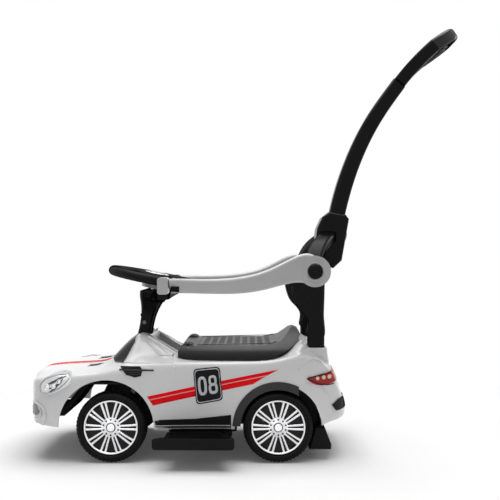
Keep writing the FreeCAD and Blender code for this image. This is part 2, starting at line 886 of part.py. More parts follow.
# Trim that lies on the skin
HEADLIGHT_SHARES = [
    (0.185, 0.604), (0.225, 0.564), (0.360, 0.566), (0.550, 0.690),
    (0.505, 0.712), (0.360, 0.708), (0.270, 0.688), (0.200, 0.648),
]
TAIL_LIGHT_SHARES = [
    (2.390, 0.680), (2.520, 0.695), (2.660, 0.718), (2.757, 0.735), (2.900, 0.735), (2.900, 0.655),
    (2.820, 0.650), (2.720, 0.632), (2.620, 0.622), (2.520, 0.630), (2.440, 0.655),
]
REAR_VENT_SHARES = [(2.763, 0.457), (2.870, 0.497), (3.050, 0.510), (3.050, 0.405), (2.830, 0.405)]
FENDER_VENT_SHARES = [
    (1.056, 0.777), (1.175, 0.777), (1.190, 0.750), (1.182, 0.700), (1.145, 0.690), (1.095, 0.712),
]
SILL_SHARES = [(1.285, 0.290), (1.718, 0.290), (1.718, 0.384), (1.500, 0.352), (1.285, 0.345)]
WINDSCREEN_SHARES = [
    (0.820, 0.842), (1.000, 1.200), (1.098, 1.200), (1.122, 0.956),
    (1.067, 0.800), (1.009, 0.800), (0.957, 0.836),
]
GRILLE_SHARES = (0.450, 0.628)
INTAKE_SHARES = (0.345, 0.425)
nose_panel_depth_share = 0.16


def side_trim(name, shares, proud):
    return feature(name, both_sides(skin_panel(left_prism(shares, v.vent_inner_reach), proud)))


def curved_trim(name, shares, proud):
    tool = left_curve_prism(shares, v.vent_inner_reach)
    return feature(name, both_sides(skin_panel(tool, proud)))


def nose_trim(name, shares, half_width):
    low, high = (level(share) for share in shares)
    span = (along(0) - v.cut_overrun, along(nose_panel_depth_share))
    return feature(name, skin_panel(brick(span, (-half_width, half_width), (low, high)), v.trim_proud))


def windscreen():
    """The dark glass that wraps round the cowl."""
    reach = ACROSS * v.body_half_width
    panel = skin_panel(prism(side_points(WINDSCREEN_SHARES), ORIGIN - reach, reach), v.glass_proud)
    return panel.cut(post_hole())


def arch_trim():
    """The flare over the left rear wheel: a ring in the arch with a lip over the skin."""
    centre = Vector(rear_x, -v.body_half_width - v.cut_overrun, v.tyre_radius)
    end = Vector(rear_x, -v.well_inner_reach, v.tyre_radius)
    outer = v.rear_arch_radius + v.arch_trim_lap
    hole = bar(v.arch_trim_radius, centre, end)
    low = v.floor_height + v.body_wall * 2
    upper = brick((rear_x - outer, rear_x + v.arch_trim_reach), (centre.y, end.y), (low, low + outer * 2))
    lip = skin_panel(bar(outer, centre, end).cut(hole).common(upper), v.trim_proud)
    disc = bar(v.rear_arch_radius, centre, end).cut(hole).common(upper)
    flange = body_solid().cut(body_solid(v.body_wall, v.cut_overrun)).common(disc)
    return lip.fuse(flange).removeSplitter()


curved_trim("headlights", HEADLIGHT_SHARES, v.light_proud)
side_trim("tail_lights", TAIL_LIGHT_SHARES, v.light_proud)
side_trim("rear_vents", REAR_VENT_SHARES, v.trim_proud)
side_trim("fender_vents", FENDER_VENT_SHARES, v.trim_proud)
side_trim("sill_trims", SILL_SHARES, v.trim_proud)
nose_trim("grille", GRILLE_SHARES, v.grille_half_width)
nose_trim("front_intake", INTAKE_SHARES, v.intake_half_width)
feature("windscreen", windscreen())
feature("arch_trims", both_sides(arch_trim()))


def dash_tray():
    """An open dish whose rim follows the cowl's slope."""
    dish = tray_brick(0, tray_floor)
    hollow = tray_brick(-v.tray_wall, tray_floor + v.tray_wall)
    return dish.cut(hollow).common(body_solid(-v.tray_proud))


feature("dash_tray", dash_tray())


# Front post: a column on the steering axis that opens into a yoke
# Each section: height between the deck (0) and the yoke's top (1), then shares of its length, of its
# width and of its lean to the rear.
POST_SHARES = [
    (0.00, 1.00, 1.00, 0.00), (0.42, 1.00, 1.00, 0.00), (0.68, 0.95, 1.02, 0.00),
    (0.80, 1.20, 1.35, 0.10), (0.91, 1.62, 2.20, 0.35), (1.00, 1.90, 2.75, 0.60),
]
# Each yoke arm section: reach between the axis (0) and the arm's tip (1), length and height shares.
ARM_SHARES = [(0.35, 2.00, 1.20), (0.62, 1.60, 0.95), (0.82, 1.30, 0.80), (1.00, 1.20, 0.62)]


def clip_x():
    """Middle of the rail clips along the car."""
    return front_x + v.arm_end_setback


def clip_low():
    """Underside of the rail clips, where the yoke's arms carry them."""
    return v.rail_height - v.rail_half_height - v.clip_rim


def front_post():
    low = front_deck + v.front_deck_thickness
    rise = v.post_top_height - low
    sections = []
    for rise_share, length_share, width_share, lean_share in POST_SHARES:
        half_length = v.post_half_length * length_share
        wire = post_wire(low + rise * rise_share, half_length, v.post_half_width * width_share)
        sections.append(wire.translated(ALONG * (v.post_half_length * lean_share)))
    column = loft(sections)
    top = steering_foot + steering_axis * ((v.post_top_height - v.tyre_radius) / steering_axis.z)
    end = Vector(clip_x(), -v.arm_reach, clip_low() - v.arm_half_height)
    start = Vector(top.x, 0, end.z)
    wires = []
    for reach_share, length_share, height_share in ARM_SHARES:
        centre = start + (end - start) * reach_share
        half_length = v.arm_half_height * length_share
        half_height = v.arm_half_height * height_share
        centre.z = end.z + v.arm_half_height - half_height
        wires.append(ring_wire(centre, ALONG, UP, half_length, half_height, v.arm_corner))
    arm = loft(wires)
    whole = column.fuse([arm, arm.mirror(ORIGIN, ACROSS)])
    far = steering_foot + steering_axis * v.wheelbase
    holes = [bar(v.steering_rod_radius + v.running_gap, steering_foot, far)]
    seat = steering_foot + steering_axis * collar_level()
    holes.append(bar(v.collar_radius + v.running_gap, seat, seat + steering_axis * v.wheelbase))
    holes.append(post_bolt_bar(v.bolt_radius))
    return whole.cut(holes)


def collar_level():
    """Distance up the steering axis where the collar sits."""
    return v.steering_wheel_rise - v.steering_hub_height / 2 - v.running_gap - v.collar_height


def post_bolt_bar(radius):
    """The bolt's shank across the column."""
    x = steering_foot.x + (v.bolt_height - steering_foot.z) * math.tan(math.radians(v.steering_tilt))
    offset = ALONG * (v.steering_rod_radius + v.running_gap + radius)
    centre = Vector(x, 0, v.bolt_height) - offset
    reach = ACROSS * v.post_half_width
    return bar(radius, centre - reach, centre + reach)


feature("front_post", front_post())
feature("post_bolt", post_bolt_bar(v.bolt_radius))


def rail_clip():
    """The left catch that a guard rail drops into."""
    half = v.clip_length / 2
    half_height = v.rail_half_height + v.clip_rim
    wires = []
    for reach in (v.arm_reach - v.clip_thickness, v.arm_reach):
        centre = Vector(clip_x(), -reach, v.rail_height)
        wires.append(ring_wire(centre, ALONG, UP, half, half_height, v.clip_corner))
    return loft(wires)


feature("rail_clips", both_sides(rail_clip()))
collar = steering_bar(
    "steering_collar_blank",
    "collar_radius",
    "steering_wheel_rise - steering_hub_height / 2 - running_gap - collar_height",
    "steering_wheel_rise - steering_hub_height / 2 - running_gap",
)
collar_bore = steering_bar(
    "steering_collar_bore",
    "steering_rod_radius + running_gap",
    "steering_wheel_rise - steering_hub_height - collar_height",
    "steering_wheel_rise",
)
node(cut("steering_collar", collar, collar_bore))


# Guard rails
# Each section: place between the clip (0) and the pivot (1), climb, half height and bulge shares.
RAIL_SHARES = [
    (0.00, 0.00, 1.00, 0.00), (0.13, 0.02, 1.00, 0.33), (0.29, 0.02, 1.00, 0.68),
    (0.47, 0.10, 1.10, 0.92), (0.63, 0.36, 1.24, 0.98), (0.74, 0.70, 1.42, 0.93),
    (0.84, 1.05, 1.70, 0.83), (0.925, 1.20, 2.00, 0.72), (1.00, 1.00, 2.13, 0.66),
]
rail_front_lean_share = 0.16
button_lead_share = 0.75


def rail_section(row):
    place_share, climb_share, height_share, bulge_share = row
    front = clip_x() + v.clip_length / 2 + v.rail_front_gap
    x = front + (pivot_x - front) * place_share
    y = -v.rail_front_reach - v.rail_bulge * bulge_share
    z = v.rail_height + (v.pivot_height - v.rail_height) * climb_share
    half_height = v.rail_half_height * height_share
    lean = rail_front_lean_share if place_share == 0 else 0
    centre = Vector(x + lean * half_height, y, z)
    up = Vector(-lean, 0, 1)
    return ring_wire(centre, ACROSS, up, v.rail_half_width, half_height, v.rail_corner)


def pivot_bar(radius, inner, outer):
    """A left-hand round bar on the rail pivot."""
    return bar(radius, Vector(pivot_x, -inner, v.pivot_height), Vector(pivot_x, -outer, v.pivot_height))


def button_brick(gap, deep, proud):
    """A block in the place of the left rail's release button."""
    centre = clip_x() + v.clip_length * button_lead_share + v.button_length / 2
    half = v.button_length / 2 + gap
    share = (centre - clip_x() - v.clip_length / 2) / (pivot_x - clip_x())
    slope = RAIL_SHARES[1][3] / RAIL_SHARES[1][0]
    face = -v.rail_front_reach - v.rail_bulge * slope * share - v.rail_half_width
    height = v.button_height / 2 + gap
    across = (face - proud, face + deep)
    middle = v.rail_height - v.button_drop
    return brick((centre - half, centre + half), across, (middle - height, middle + height))


def guard_rail():
    rail = loft([rail_section(row) for row in RAIL_SHARES])
    inner = v.pivot_reach - v.rail_end_half_width
    outer = v.pivot_reach + v.rail_end_half_width
    disc = pivot_bar(v.rail_end_radius, inner, outer)
    whole = rail.fuse(disc)
    hole = pivot_bar(v.pivot_pin_radius + v.shaft_gap, inner - v.cut_overrun, outer + v.cut_overrun)
    deep = v.button_depth + v.button_travel + v.running_gap
    pit = button_brick(v.running_gap, deep, v.button_proud + v.rail_bulge)
    return whole.cut([hole, pit])


def on_right(shape):
    return shape.mirror(ORIGIN, ACROSS)


left_rail = guard_rail()
feature("rail_left", left_rail)
feature("rail_right", on_right(left_rail))
left_button = button_brick(0, v.button_depth, v.button_proud)
feature("rail_button_left", left_button)
feature("rail_button_right", on_right(left_button))


# Rear supports: a leg in the deck, a pod at the rail pivot, an arm up to the housing
# Each section: rise between the foot (0) and the pivot (1), then shares of the lean outwards,
# of the pod's forward reach, and of the leg's length and width.
SUPPORT_SHARES = [
    (0.00, 0.00, 0.00, 1.00, 1.00), (0.29, 0.00, 0.00, 1.00, 1.00), (0.45, 0.16, 0.04, 1.02, 0.96),
    (0.52, 0.30, 0.26, 1.20, 0.97), (0.59, 0.44, 0.58, 1.56, 0.98), (0.67, 0.60, 0.78, 1.80, 0.98),
    (0.77, 0.78, 0.91, 1.95, 0.95), (0.88, 0.92, 0.92, 1.96, 0.93), (1.00, 1.00, 0.72, 1.74, 0.90),
    (1.15, 0.97, 0.36, 1.30, 0.72),
]
# Each arm section: shares of the way in to the housing, up and back from the pivot to the housing.
ARM_PATH_SHARES = [(0.00, 0.02, 0.02), (0.22, 0.50, 0.22), (0.55, 0.82, 0.62), (1.00, 1.00, 1.00)]
arm_end_drop_share = 0.42


def arm_points():
    housing = handle_base - handle_turn.multVec(UP) * (v.housing_drop * arm_end_drop_share)
    start = Vector(leg_x - v.pod_forward / 2, -v.pod_reach, v.pivot_height)
    end = Vector(housing.x - v.housing_bulge / 4, -v.housing_width / 4, housing.z)
    points = []
    for in_share, up_share, back_share in ARM_PATH_SHARES:
        x = start.x + (end.x - start.x) * back_share
        y = start.y + (end.y - start.y) * in_share
        points.append(Vector(x, y, start.z + (end.z - start.z) * up_share))
    return points


def swept(points, half_across, half_up, corner, across):
    """A loft of one rounded section along a smooth line through the points."""
    curve = Part.BSplineCurve()
    curve.interpolate(points)
    wires = []
    for point in points:
        heading = Vector(*curve.tangent(curve.parameter(point))[0])
        heading.normalize()
        up = heading.cross(across)
        up.normalize()
        wires.append(ring_wire(point, up.cross(heading), up, half_across, half_up, corner))
    return loft(wires)


def rear_support():
    rise = v.pivot_height - leg_foot
    sections = []
    for rise_share, out_share, forward_share, length_share, width_share in SUPPORT_SHARES:
        x = leg_x - v.pod_forward * forward_share
        y = -v.leg_reach - (v.pod_reach - v.leg_reach) * out_share
        z = leg_foot + rise * rise_share
        half_length = v.leg_half_length * length_share
        sections.append(leg_wire(x, y, z, half_length, v.leg_half_width * width_share))
    leg = loft(sections[:2])
    pod = loft(sections[1:])
    arm = swept(arm_points(), v.support_arm_half_length, v.support_arm_half_height, v.leg_corner, ALONG)
    whole = leg.fuse([pod, arm])
    face = v.pivot_reach - v.rail_end_half_width - v.running_gap
    span = (along(1), along(3) + v.wheelbase)
    slab = brick(span, (-face, -v.housing_width / 2), (0, v.handle_base_height))
    hole = pivot_bar(v.pivot_pin_radius, v.leg_reach, v.pivot_reach)
    return whole.common(slab).cut(hole)


left_support = rear_support()
feature("rear_support_left", left_support)
feature("rear_support_right", on_right(left_support))
pin_end = v.pivot_reach + v.rail_end_half_width + v.running_gap
feature("rail_pivot_pins", both_sides(pivot_bar(v.pivot_pin_radius, v.leg_reach, pin_end)))


def rail_knob():
    """The domed cap on the end of the left pivot pin."""
    base = pivot_bar(v.knob_radius, pin_end, pin_end + v.knob_height)
    rim = [edge for edge in base.Edges if edge.CenterOfMass.y < -pin_end - v.knob_height / 2]
    round_edges = [edge for edge in rim if edge.Closed and len(edge.Vertexes) == 1]
    return base.makeFillet(v.knob_height / 2, round_edges[:1])


feature("rail_knobs", both_sides(rail_knob()))


# Handle housing: a block leaning with the handle, with a socket for its stem
# Each corner: share of the depth behind the stem (+) or of the bulge before it (-), then of the drop.
HOUSING_SHARES = [
    (1.00, 0.07), (0.66, 0.00), (-0.50, 0.00), (-0.83, 0.12), (-1.00, 0.33), (-0.98, 0.48),
    (-0.79, 0.71), (-0.12, 0.96), (0.40, 1.00), (1.00, 0.83),
]


def handle_frame(piece):
    """Stand an object on the handle's base, leaning with it."""
    piece.Placement = Placement(handle_base, handle_turn)
    place(piece, "-front_axle_reach + wheelbase + handle_setback", "0", "handle_base_height")
    piece.setExpression("Placement.Rotation.Angle", in_sheet("handle_tilt"))
    return piece


def housing_corner(depth_share, drop_share):
    size = "housing_depth" if depth_share > 0 else "housing_bulge"
    return f"{depth_share} * {size}", f"-{drop_share} * housing_drop"


def handle_housing():
    block_body = doc.addObject("PartDesign::Body", "handle_housing_block")
    side = sketch(block_body, "handle_housing_side", "XZ_Plane")
    outline(side, [housing_corner(*shares) for shares in HOUSING_SHARES])
    pad(block_body, "handle_housing_pad", side, "housing_width", both_ways=True)
    limit = v.housing_width / 2
    rounded(
        block_body,
        "handle_housing_round",
        "housing_round",
        lambda edge: abs(abs(edge.CenterOfMass.y) - limit) < v.shaft_gap,
    )
    top = sketch(block_body, "handle_housing_mouth", "XY_Plane")
    reach = "stem_half_length + running_gap"
    side_reach = "stem_half_width + running_gap"
    rectangle(top, (f"-({reach})", reach), (f"-({side_reach})", side_reach))
    pocket(block_body, "handle_housing_socket", top, "stem_plug + running_gap")
    back = sketch(block_body, "handle_housing_lock_ring", "YZ_Plane")
    back.AttachmentOffset = Placement(Vector(0, -v.lock_drop, v.housing_depth), Rotation())
    back.setExpression("AttachmentOffset.Base.y", in_sheet("-lock_drop"))
    back.setExpression("AttachmentOffset.Base.z", in_sheet("housing_depth"))
    circle(back, "lock_radius + running_gap")
    pocket(block_body, "handle_housing_lock_hole", back, "lock_depth + lock_travel + running_gap")
    doc.recompute()
    return handle_frame(block_body)


housing = handle_housing()
housing.Label = "handle_housing"
nodes.append(housing)

lock = doc.addObject("Part::Cylinder", "handle_button")
lock.Placement = Placement(ORIGIN, handle_turn.multiply(Rotation(ACROSS, 90)))
bind(lock, Radius="lock_radius", Height="lock_depth + lock_proud")
place(
    lock,
    "-front_axle_reach + wheelbase + handle_setback - lock_drop * sin(handle_tilt)"
    " + (housing_depth - lock_depth) * cos(handle_tilt)",
    "0",
    "handle_base_height - lock_drop * cos(handle_tilt) - (housing_depth - lock_depth) * sin(handle_tilt)",
)
lock.setExpression("Placement.Rotation.Angle", in_sheet("handle_tilt + 90"))
node(lock)


# Handle: a curved stem that parts into a loop, closed by the grip
# Each point: shares of the reach back and of the rise above the housing.
HANDLE_SHARES = [
    (0.000, 0.000), (0.053, 0.133), (0.118, 0.258), (0.200, 0.384), (0.304, 0.512), (0.422, 0.629),
    (0.564, 0.752), (0.684, 0.841), (0.822, 0.923), (0.935, 0.977), (1.000, 1.000),
]
stem_end = 6
loop_end = 8
STEM_THIN_SHARES = (1.0, 1.0, 0.98, 0.96, 0.94, 0.92, 0.90)
LOOP_SPREAD_SHARES = (0.16, 0.68, 1.00)
GRIP_SPREAD_SHARES = (1.00, 0.98, 0.72, 0.00, -0.72, -0.98, -1.00)
GRIP_RUN_SHARES = (0.822, 0.900, 0.972, 1.000, 0.972, 0.900, 0.822)


grip_heading_shares = (0.9, 0, 0.43)


def handle_curve():
    points = []
    for back, up in HANDLE_SHARES:
        points.append(handle_base + Vector(v.handle_reach * back, 0, v.handle_rise * up))
    first = handle_turn.multVec(UP)
    last = Vector(*grip_heading_shares)
    curve = Part.BSplineCurve()
    curve.interpolate(Points=points, InitialTangent=first, FinalTangent=last)
    return curve, points


def across_wire(curve, point, y, half_length, half_width, corner):
    """A section square to the handle's line, moved sideways."""
    heading = Vector(*curve.tangent(curve.parameter(point))[0])
    heading.normalize()
    forward = ACROSS.cross(heading)
    centre = Vector(point.x, y, point.z)
    return ring_wire(centre, forward, ACROSS, half_length, half_width, corner)


def handle_tube():
    curve, points = handle_curve()
    plug_end = handle_base - handle_turn.multVec(UP) * v.stem_plug
    forward = ACROSS.cross(handle_turn.multVec(UP))
    sizes_at_base = (v.stem_half_length, v.stem_half_width, v.stem_corner)
    plug = [ring_wire(point, forward, ACROSS, *sizes_at_base) for point in (plug_end, handle_base)]
    stem = []
    for point, thin_share in zip(points[: stem_end + 1], STEM_THIN_SHARES):
        length = v.stem_half_length * thin_share
        stem.append(across_wire(curve, point, 0, length, v.stem_half_width * thin_share, v.stem_corner))
    arm = []
    for point, spread_share in zip(points[stem_end : loop_end + 1], LOOP_SPREAD_SHARES):
        y = -v.loop_half_width * spread_share
        size = v.loop_half_thickness
        arm.append(across_wire(curve, point, y, size, size, v.stem_corner))
    left_arm = loft(arm)
    return loft(plug).fuse([loft(stem), left_arm, on_right(left_arm)]).removeSplitter()


def handle_grip():
    """The U-shaped hand grip that closes the loop."""
    curve, points = handle_curve()
    start = points[loop_end]
    end = points[-1]
    path = []
    for spread_share, run_share in zip(GRIP_SPREAD_SHARES, GRIP_RUN_SHARES):
        run = (run_share - GRIP_RUN_SHARES[0]) / (1 - GRIP_RUN_SHARES[0])
        point = start + (end - start) * run
        path.append(Vector(point.x, -v.loop_half_width * spread_share, point.z))
    line = Part.BSplineCurve()
    heading = Vector(*curve.tangent(curve.parameter(start))[0])
    line.interpolate(Points=path, InitialTangent=heading, FinalTangent=heading * -1)
    wires = []
    flat = Vector(end - start)
    flat.normalize()
    normal = flat.cross(ACROSS)
    for point in path:
        direction = Vector(*line.tangent(line.parameter(point))[0])
        direction.normalize()
        side = direction.cross(normal)
        side.normalize()
        up = side.cross(direction)
        size = v.grip_half_thickness
        wires.append(ring_wire(point, side, up, size, size, v.stem_corner))
    return loft(wires)


feature("handle_tube", handle_tube())
feature("handle_grip", handle_grip())


# Seat lid, hinge pin and storage box
def seat_lid():
    lid = seat_prism(v.seat_half_width, 0).common(seat_arch())
    front = along(seat_front_share)
    inner = v.seat_half_width * seat_hollow_share
    hollow_x = (hinge_x + v.lug_half_length + v.seat_wall * 2, along(seat_flat_end_share) - v.seat_wall)
    hollow = brick(hollow_x, (-inner, inner), (0, seat_top - v.seat_wall))
    knuckle_half = v.lug_width / 2 + v.knuckle_width
    knuckle_y = (v.lug_reach - knuckle_half, v.lug_reach + knuckle_half)
    knuckle_radius = v.lug_half_length + v.seat_wall / 2
    knuckles = []
    notches = []
    for side in (-1, 1):
        span = sorted((side * knuckle_y[0], side * knuckle_y[1]))
        centre = Vector(hinge_x, span[0], hinge_z)
        knuckles.append(bar(knuckle_radius, centre, centre + ACROSS * (span[1] - span[0])))
        edge = v.lug_width / 2 + v.running_gap
        middle = side * v.lug_reach
        back = hinge_x + v.lug_half_length + v.seat_wall
        reach = (middle - edge, middle + edge)
        notches.append(brick((front - v.cut_overrun, back), reach, (0, v.body_height)))
    lid = lid.fuse(knuckles)
    pin = hinge_bar(v.hinge_pin_radius + v.shaft_gap, v.body_half_width)
    return lid.cut([hollow, pin] + notches)


feature("seat_lid", seat_lid())
node(
    cross_rod(
        "seat_hinge_pin",
        "hinge_pin_radius",
        ("-lug_reach - lug_width / 2 - knuckle_width", "lug_reach + lug_width / 2 + knuckle_width"),
        f"-front_axle_reach + {round(hinge_share - 1, 3)} * wheelbase",
        f"{belt_text} + hinge_rise",
    )
)
box_front_share = 0.50
box_back_share = 0.90
box_x = (
    f"-front_axle_reach + {box_front_share} * wheelbase",
    f"-front_axle_reach + {box_back_share} * wheelbase",
)
box_outside = block(
    "storage_box_outside",
    box_x,
    ("-box_half_width", "box_half_width"),
    ("floor_height + floor_thickness", f"{belt_text} - box_sink"),
)
box_inside = block(
    "storage_box_inside",
    (box_x[0] + " + box_wall", box_x[1] + " - box_wall"),
    ("-box_half_width + box_wall", "box_half_width - box_wall"),
    ("floor_height + floor_thickness + box_wall", f"{belt_text} - box_sink + cut_overrun"),
)
node(cut("storage_box", box_outside, box_inside))


# Axles, bushes and the front axle carrier
axle_half = "wheel_offset + tyre_width / 2 - axle_end_inset"
axle_y = (f"-({axle_half})", axle_half)
node(cross_rod("rear_axle", "axle_radius", axle_y, "wheelbase - front_axle_reach", "tyre_radius"))
node(cross_rod("front_axle", "axle_radius", axle_y, "-front_axle_reach", "tyre_radius"))


def axle_bush():
    """The left bush between the rear axle and its block."""
    inner = Vector(rear_x, -v.axle_block_reach, v.tyre_radius)
    outer = inner - ACROSS * v.axle_block_width
    return bar(v.bush_radius, inner, outer).cut(bar(v.axle_radius, inner, outer))


feature("axle_bushes", both_sides(axle_bush()))
carrier_x = ("-front_axle_reach - carrier_length / 2", "-front_axle_reach + carrier_length / 2")
carrier_beam = block(
    "carrier_beam",
    carrier_x,
    ("-carrier_half_span", "carrier_half_span"),
    ("tyre_radius - carrier_height / 2", "tyre_radius + carrier_height / 2"),
)
carrier_boss = steering_bar(
    "carrier_boss", "carrier_boss_radius", "-carrier_height / 2", "carrier_boss_height"
)
carrier_whole = fuse("carrier_whole", carrier_beam, carrier_boss)
carrier_axle = cross_rod(
    "carrier_axle_bore",
    "axle_radius",
    ("-body_half_width", "body_half_width"),
    "-front_axle_reach",
    "tyre_radius",
)
carrier_rod = steering_bar(
    "carrier_rod_bore", "steering_rod_radius", "-carrier_height / 4", "steering_wheel_rise"
)
node(cut("front_axle_carrier", carrier_whole, carrier_axle, carrier_rod))
node(
    steering_bar(
        "steering_rod",
        "steering_rod_radius",
        "-carrier_height / 4",
        "steering_wheel_rise - steering_hub_height / 2 + steering_spoke_height / 2",
    )
)


# Steering wheel, its trim and the horn button, in a frame on the steering axis
def steering_frame(piece):
    piece.Placement = Placement(steering_foot + steering_axis * v.steering_wheel_rise, steering_turn)
    place(
        piece,
        "-front_axle_reach + steering_lead + steering_wheel_rise * sin(steering_tilt)",
        "0",
        "tyre_radius + steering_wheel_rise * cos(steering_tilt)",
    )
    piece.setExpression("Placement.Rotation.Angle", in_sheet("steering_tilt"))
    return node(piece)


def steering_wheel():
    wheel = doc.addObject("PartDesign::Body", "steering_wheel")
    section = sketch(wheel, "steering_rim_section", "XZ_Plane")
    circle(section, "steering_tube_radius", "steering_rim_radius")
    turned(wheel, "steering_rim", section)
    disc = sketch(wheel, "steering_hub_disc", "XY_Plane")
    circle(disc, "steering_hub_radius")
    pad(wheel, "steering_hub", disc, "steering_hub_height", both_ways=True)
    bar_sketch = sketch(wheel, "steering_spoke_bar", "XY_Plane")
    half = "steering_spoke_width / 2"
    rectangle(bar_sketch, ("0", "steering_rim_radius"), (f"-{half}", half))
    spoke = pad(wheel, "steering_spoke", bar_sketch, "steering_spoke_height", both_ways=True)
    doc.recompute()
    around(wheel, "steering_spokes", spoke, bar_sketch, "3")
    well = sketch(wheel, "horn_well_ring", "XY_Plane")
    well.setExpression("AttachmentOffset.Base.z", in_sheet("steering_hub_height / 2"))
    circle(well, "horn_radius + running_gap")
    pocket(wheel, "horn_well", well, "horn_depth + horn_travel + running_gap")
    socket = sketch(wheel, "rod_socket_ring", "XY_Plane")
    socket.setExpression("AttachmentOffset.Base.z", in_sheet("-steering_hub_height / 2"))
    circle(socket, "steering_rod_radius")
    pocket(wheel, "rod_socket", socket, "steering_spoke_height / 2", backwards=True)
    doc.recompute()
    return steering_frame(wheel)


def steering_trim():
    trim = doc.addObject("PartDesign::Body", "steering_trim")
    plate_sketch = sketch(trim, "steering_trim_plate", "XY_Plane")
    plate_sketch.setExpression("AttachmentOffset.Base.z", in_sheet("steering_spoke_height / 2"))
    half = "(steering_spoke_width / 2 - steering_trim_margin)"
    inner = "steering_hub_radius + steering_trim_margin"
    outer = "steering_rim_radius - steering_tube_radius - steering_trim_margin"
    rectangle(plate_sketch, (inner, outer), (f"-{half}", half))
    plate_pad = pad(trim, "steering_trim_pad", plate_sketch, "steering_trim_height")
    doc.recompute()
    plate_pad.Refine = False
    around(trim, "steering_trim_plates", plate_pad, plate_sketch, "3")
    return steering_frame(trim)


def horn_button():
    button = doc.addObject("PartDesign::Body", "horn_button")
    face = sketch(button, "horn_button_face", "XY_Plane")
    face.setExpression("AttachmentOffset.Base.z", in_sheet("steering_hub_height / 2 - horn_depth"))
    circle(face, "horn_radius")
    pad(button, "horn_button_pad", face, "horn_height")
    doc.recompute()
    return steering_frame(button)


steering_wheel()
steering_trim()
horn_button()


# Wheels: each one in a frame on its axle, outer side towards its own -Y
def wheel_frame(piece, axle, side):
    x = "-front_axle_reach" if axle == "front" else "wheelbase - front_axle_reach"
    turn = Rotation(UP, 0 if side == "left" else 180)
    piece.Placement = Placement(ORIGIN, turn)
    place(piece, x, "-wheel_offset" if side == "left" else "wheel_offset", "tyre_radius")
    return node(piece)


def tyre(where):
    piece = doc.addObject("PartDesign::Body", f"tyre_{where}")
    section = sketch(piece, f"tyre_section_{where}", "XY_Plane")
    half = "tyre_width / 2"
    rectangle(section, ("bead_radius", "tyre_radius"), (f"-{half}", half))
    turned(piece, f"tyre_ring_{where}", section)
    limit = v.tyre_radius - v.shaft_gap
    rounded(
        piece,
        f"tyre_shoulders_{where}",
        "tyre_shoulder",
        lambda edge: len(edge.Vertexes) == 1 and edge.Curve.Radius > limit,
    )
    doc.recompute()
    return piece


def wheel_disc(where):
    """The blow-moulded wheel inside the tyre, with a sleeve for the axle."""
    piece = doc.addObject("PartDesign::Body", f"wheel_disc_{where}")
    section = sketch(piece, f"wheel_disc_section_{where}", "XY_Plane")
    face = "-tyre_width / 2 + hubcap_setback + hubcap_thickness"
    inner = "tyre_width / 2 - hubcap_setback"
    bore = "axle_radius + shaft_gap"
    outline(
        section,
        [
            (bore, face), ("bead_radius", face), ("bead_radius", inner), ("bead_radius - disc_web", inner),
            ("bead_radius - disc_web", f"{face} + disc_web"), ("disc_hub_radius", f"{face} + disc_web"),
            ("disc_hub_radius", "tyre_width / 2 - running_gap"), (bore, "tyre_width / 2 - running_gap"),
        ],
    )
    turned(piece, f"wheel_disc_ring_{where}", section)
    doc.recompute()
    return piece


def hubcap(where):
    """A rim and a hub joined by pairs of spokes, standing on the wheel disc."""
    piece = doc.addObject("PartDesign::Body", f"hubcap_{where}")
    offset = "tyre_width / 2 - hubcap_setback - hubcap_thickness"
    rim = sketch(piece, f"hubcap_rim_ring_{where}", "XZ_Plane")
    rim.setExpression("AttachmentOffset.Base.z", in_sheet(offset))
    circle(rim, "hubcap_radius")
    circle(rim, "hubcap_radius - hubcap_rim_width")
    pad(piece, f"hubcap_rim_{where}", rim, "hubcap_thickness")
    pair = sketch(piece, f"hubcap_spoke_bars_{where}", "XZ_Plane")
    pair.setExpression("AttachmentOffset.Base.z", in_sheet(offset))
    inner = "hubcap_hub_radius - spoke_width"
    outer = "hubcap_radius - hubcap_rim_width / 2"
    near = "spoke_gap / 2"
    far = "(spoke_gap / 2 + spoke_width)"
    for low, high in ((near, far), (f"-{far}", f"-{near}")):
        rectangle(pair, (inner, outer), (low, high))
    spokes = pad(piece, f"hubcap_spokes_{where}", pair, "hubcap_thickness")
    doc.recompute()
    around(piece, f"hubcap_spoke_pairs_{where}", spokes, pair, "spoke_pair_count")
    hub = sketch(piece, f"hubcap_hub_ring_{where}", "XZ_Plane")
    hub.setExpression("AttachmentOffset.Base.z", in_sheet(offset))
    circle(hub, "hubcap_hub_radius")
    pad(piece, f"hubcap_hub_{where}", hub, "hubcap_thickness")
    hole = sketch(piece, f"hubcap_bore_ring_{where}", "XZ_Plane")
    hole.setExpression("AttachmentOffset.Base.z", in_sheet(offset))
    circle(hole, "hubcap_bore_radius")
    pocket(piece, f"hubcap_bore_{where}", hole, "hubcap_thickness", backwards=True)
    doc.recompute()
    return piece


def centre_cap(where):
    piece = doc.addObject("PartDesign::Body", f"centre_cap_{where}")
    face = sketch(piece, f"centre_cap_face_{where}", "XZ_Plane")
    face.setExpression("AttachmentOffset.Base.z", in_sheet("tyre_width / 2 - hubcap_setback"))
    circle(face, "centre_cap_radius")
    pad(piece, f"centre_cap_pad_{where}", face, "centre_cap_height")
    limit = v.tyre_width / 2 - v.hubcap_setback + v.centre_cap_height
    rounded(
        piece,
        f"centre_cap_round_{where}",
        "centre_cap_height / 2",
        lambda edge: edge.CenterOfMass.y < -limit + v.shaft_gap and len(edge.Vertexes) == 1,
    )
    doc.recompute()
    return piece


for axle in ("front", "rear"):
    for side in ("left", "right"):
        for make in (tyre, wheel_disc, hubcap, centre_cap):
            wheel_frame(make(f"{axle}_{side}"), axle, side)


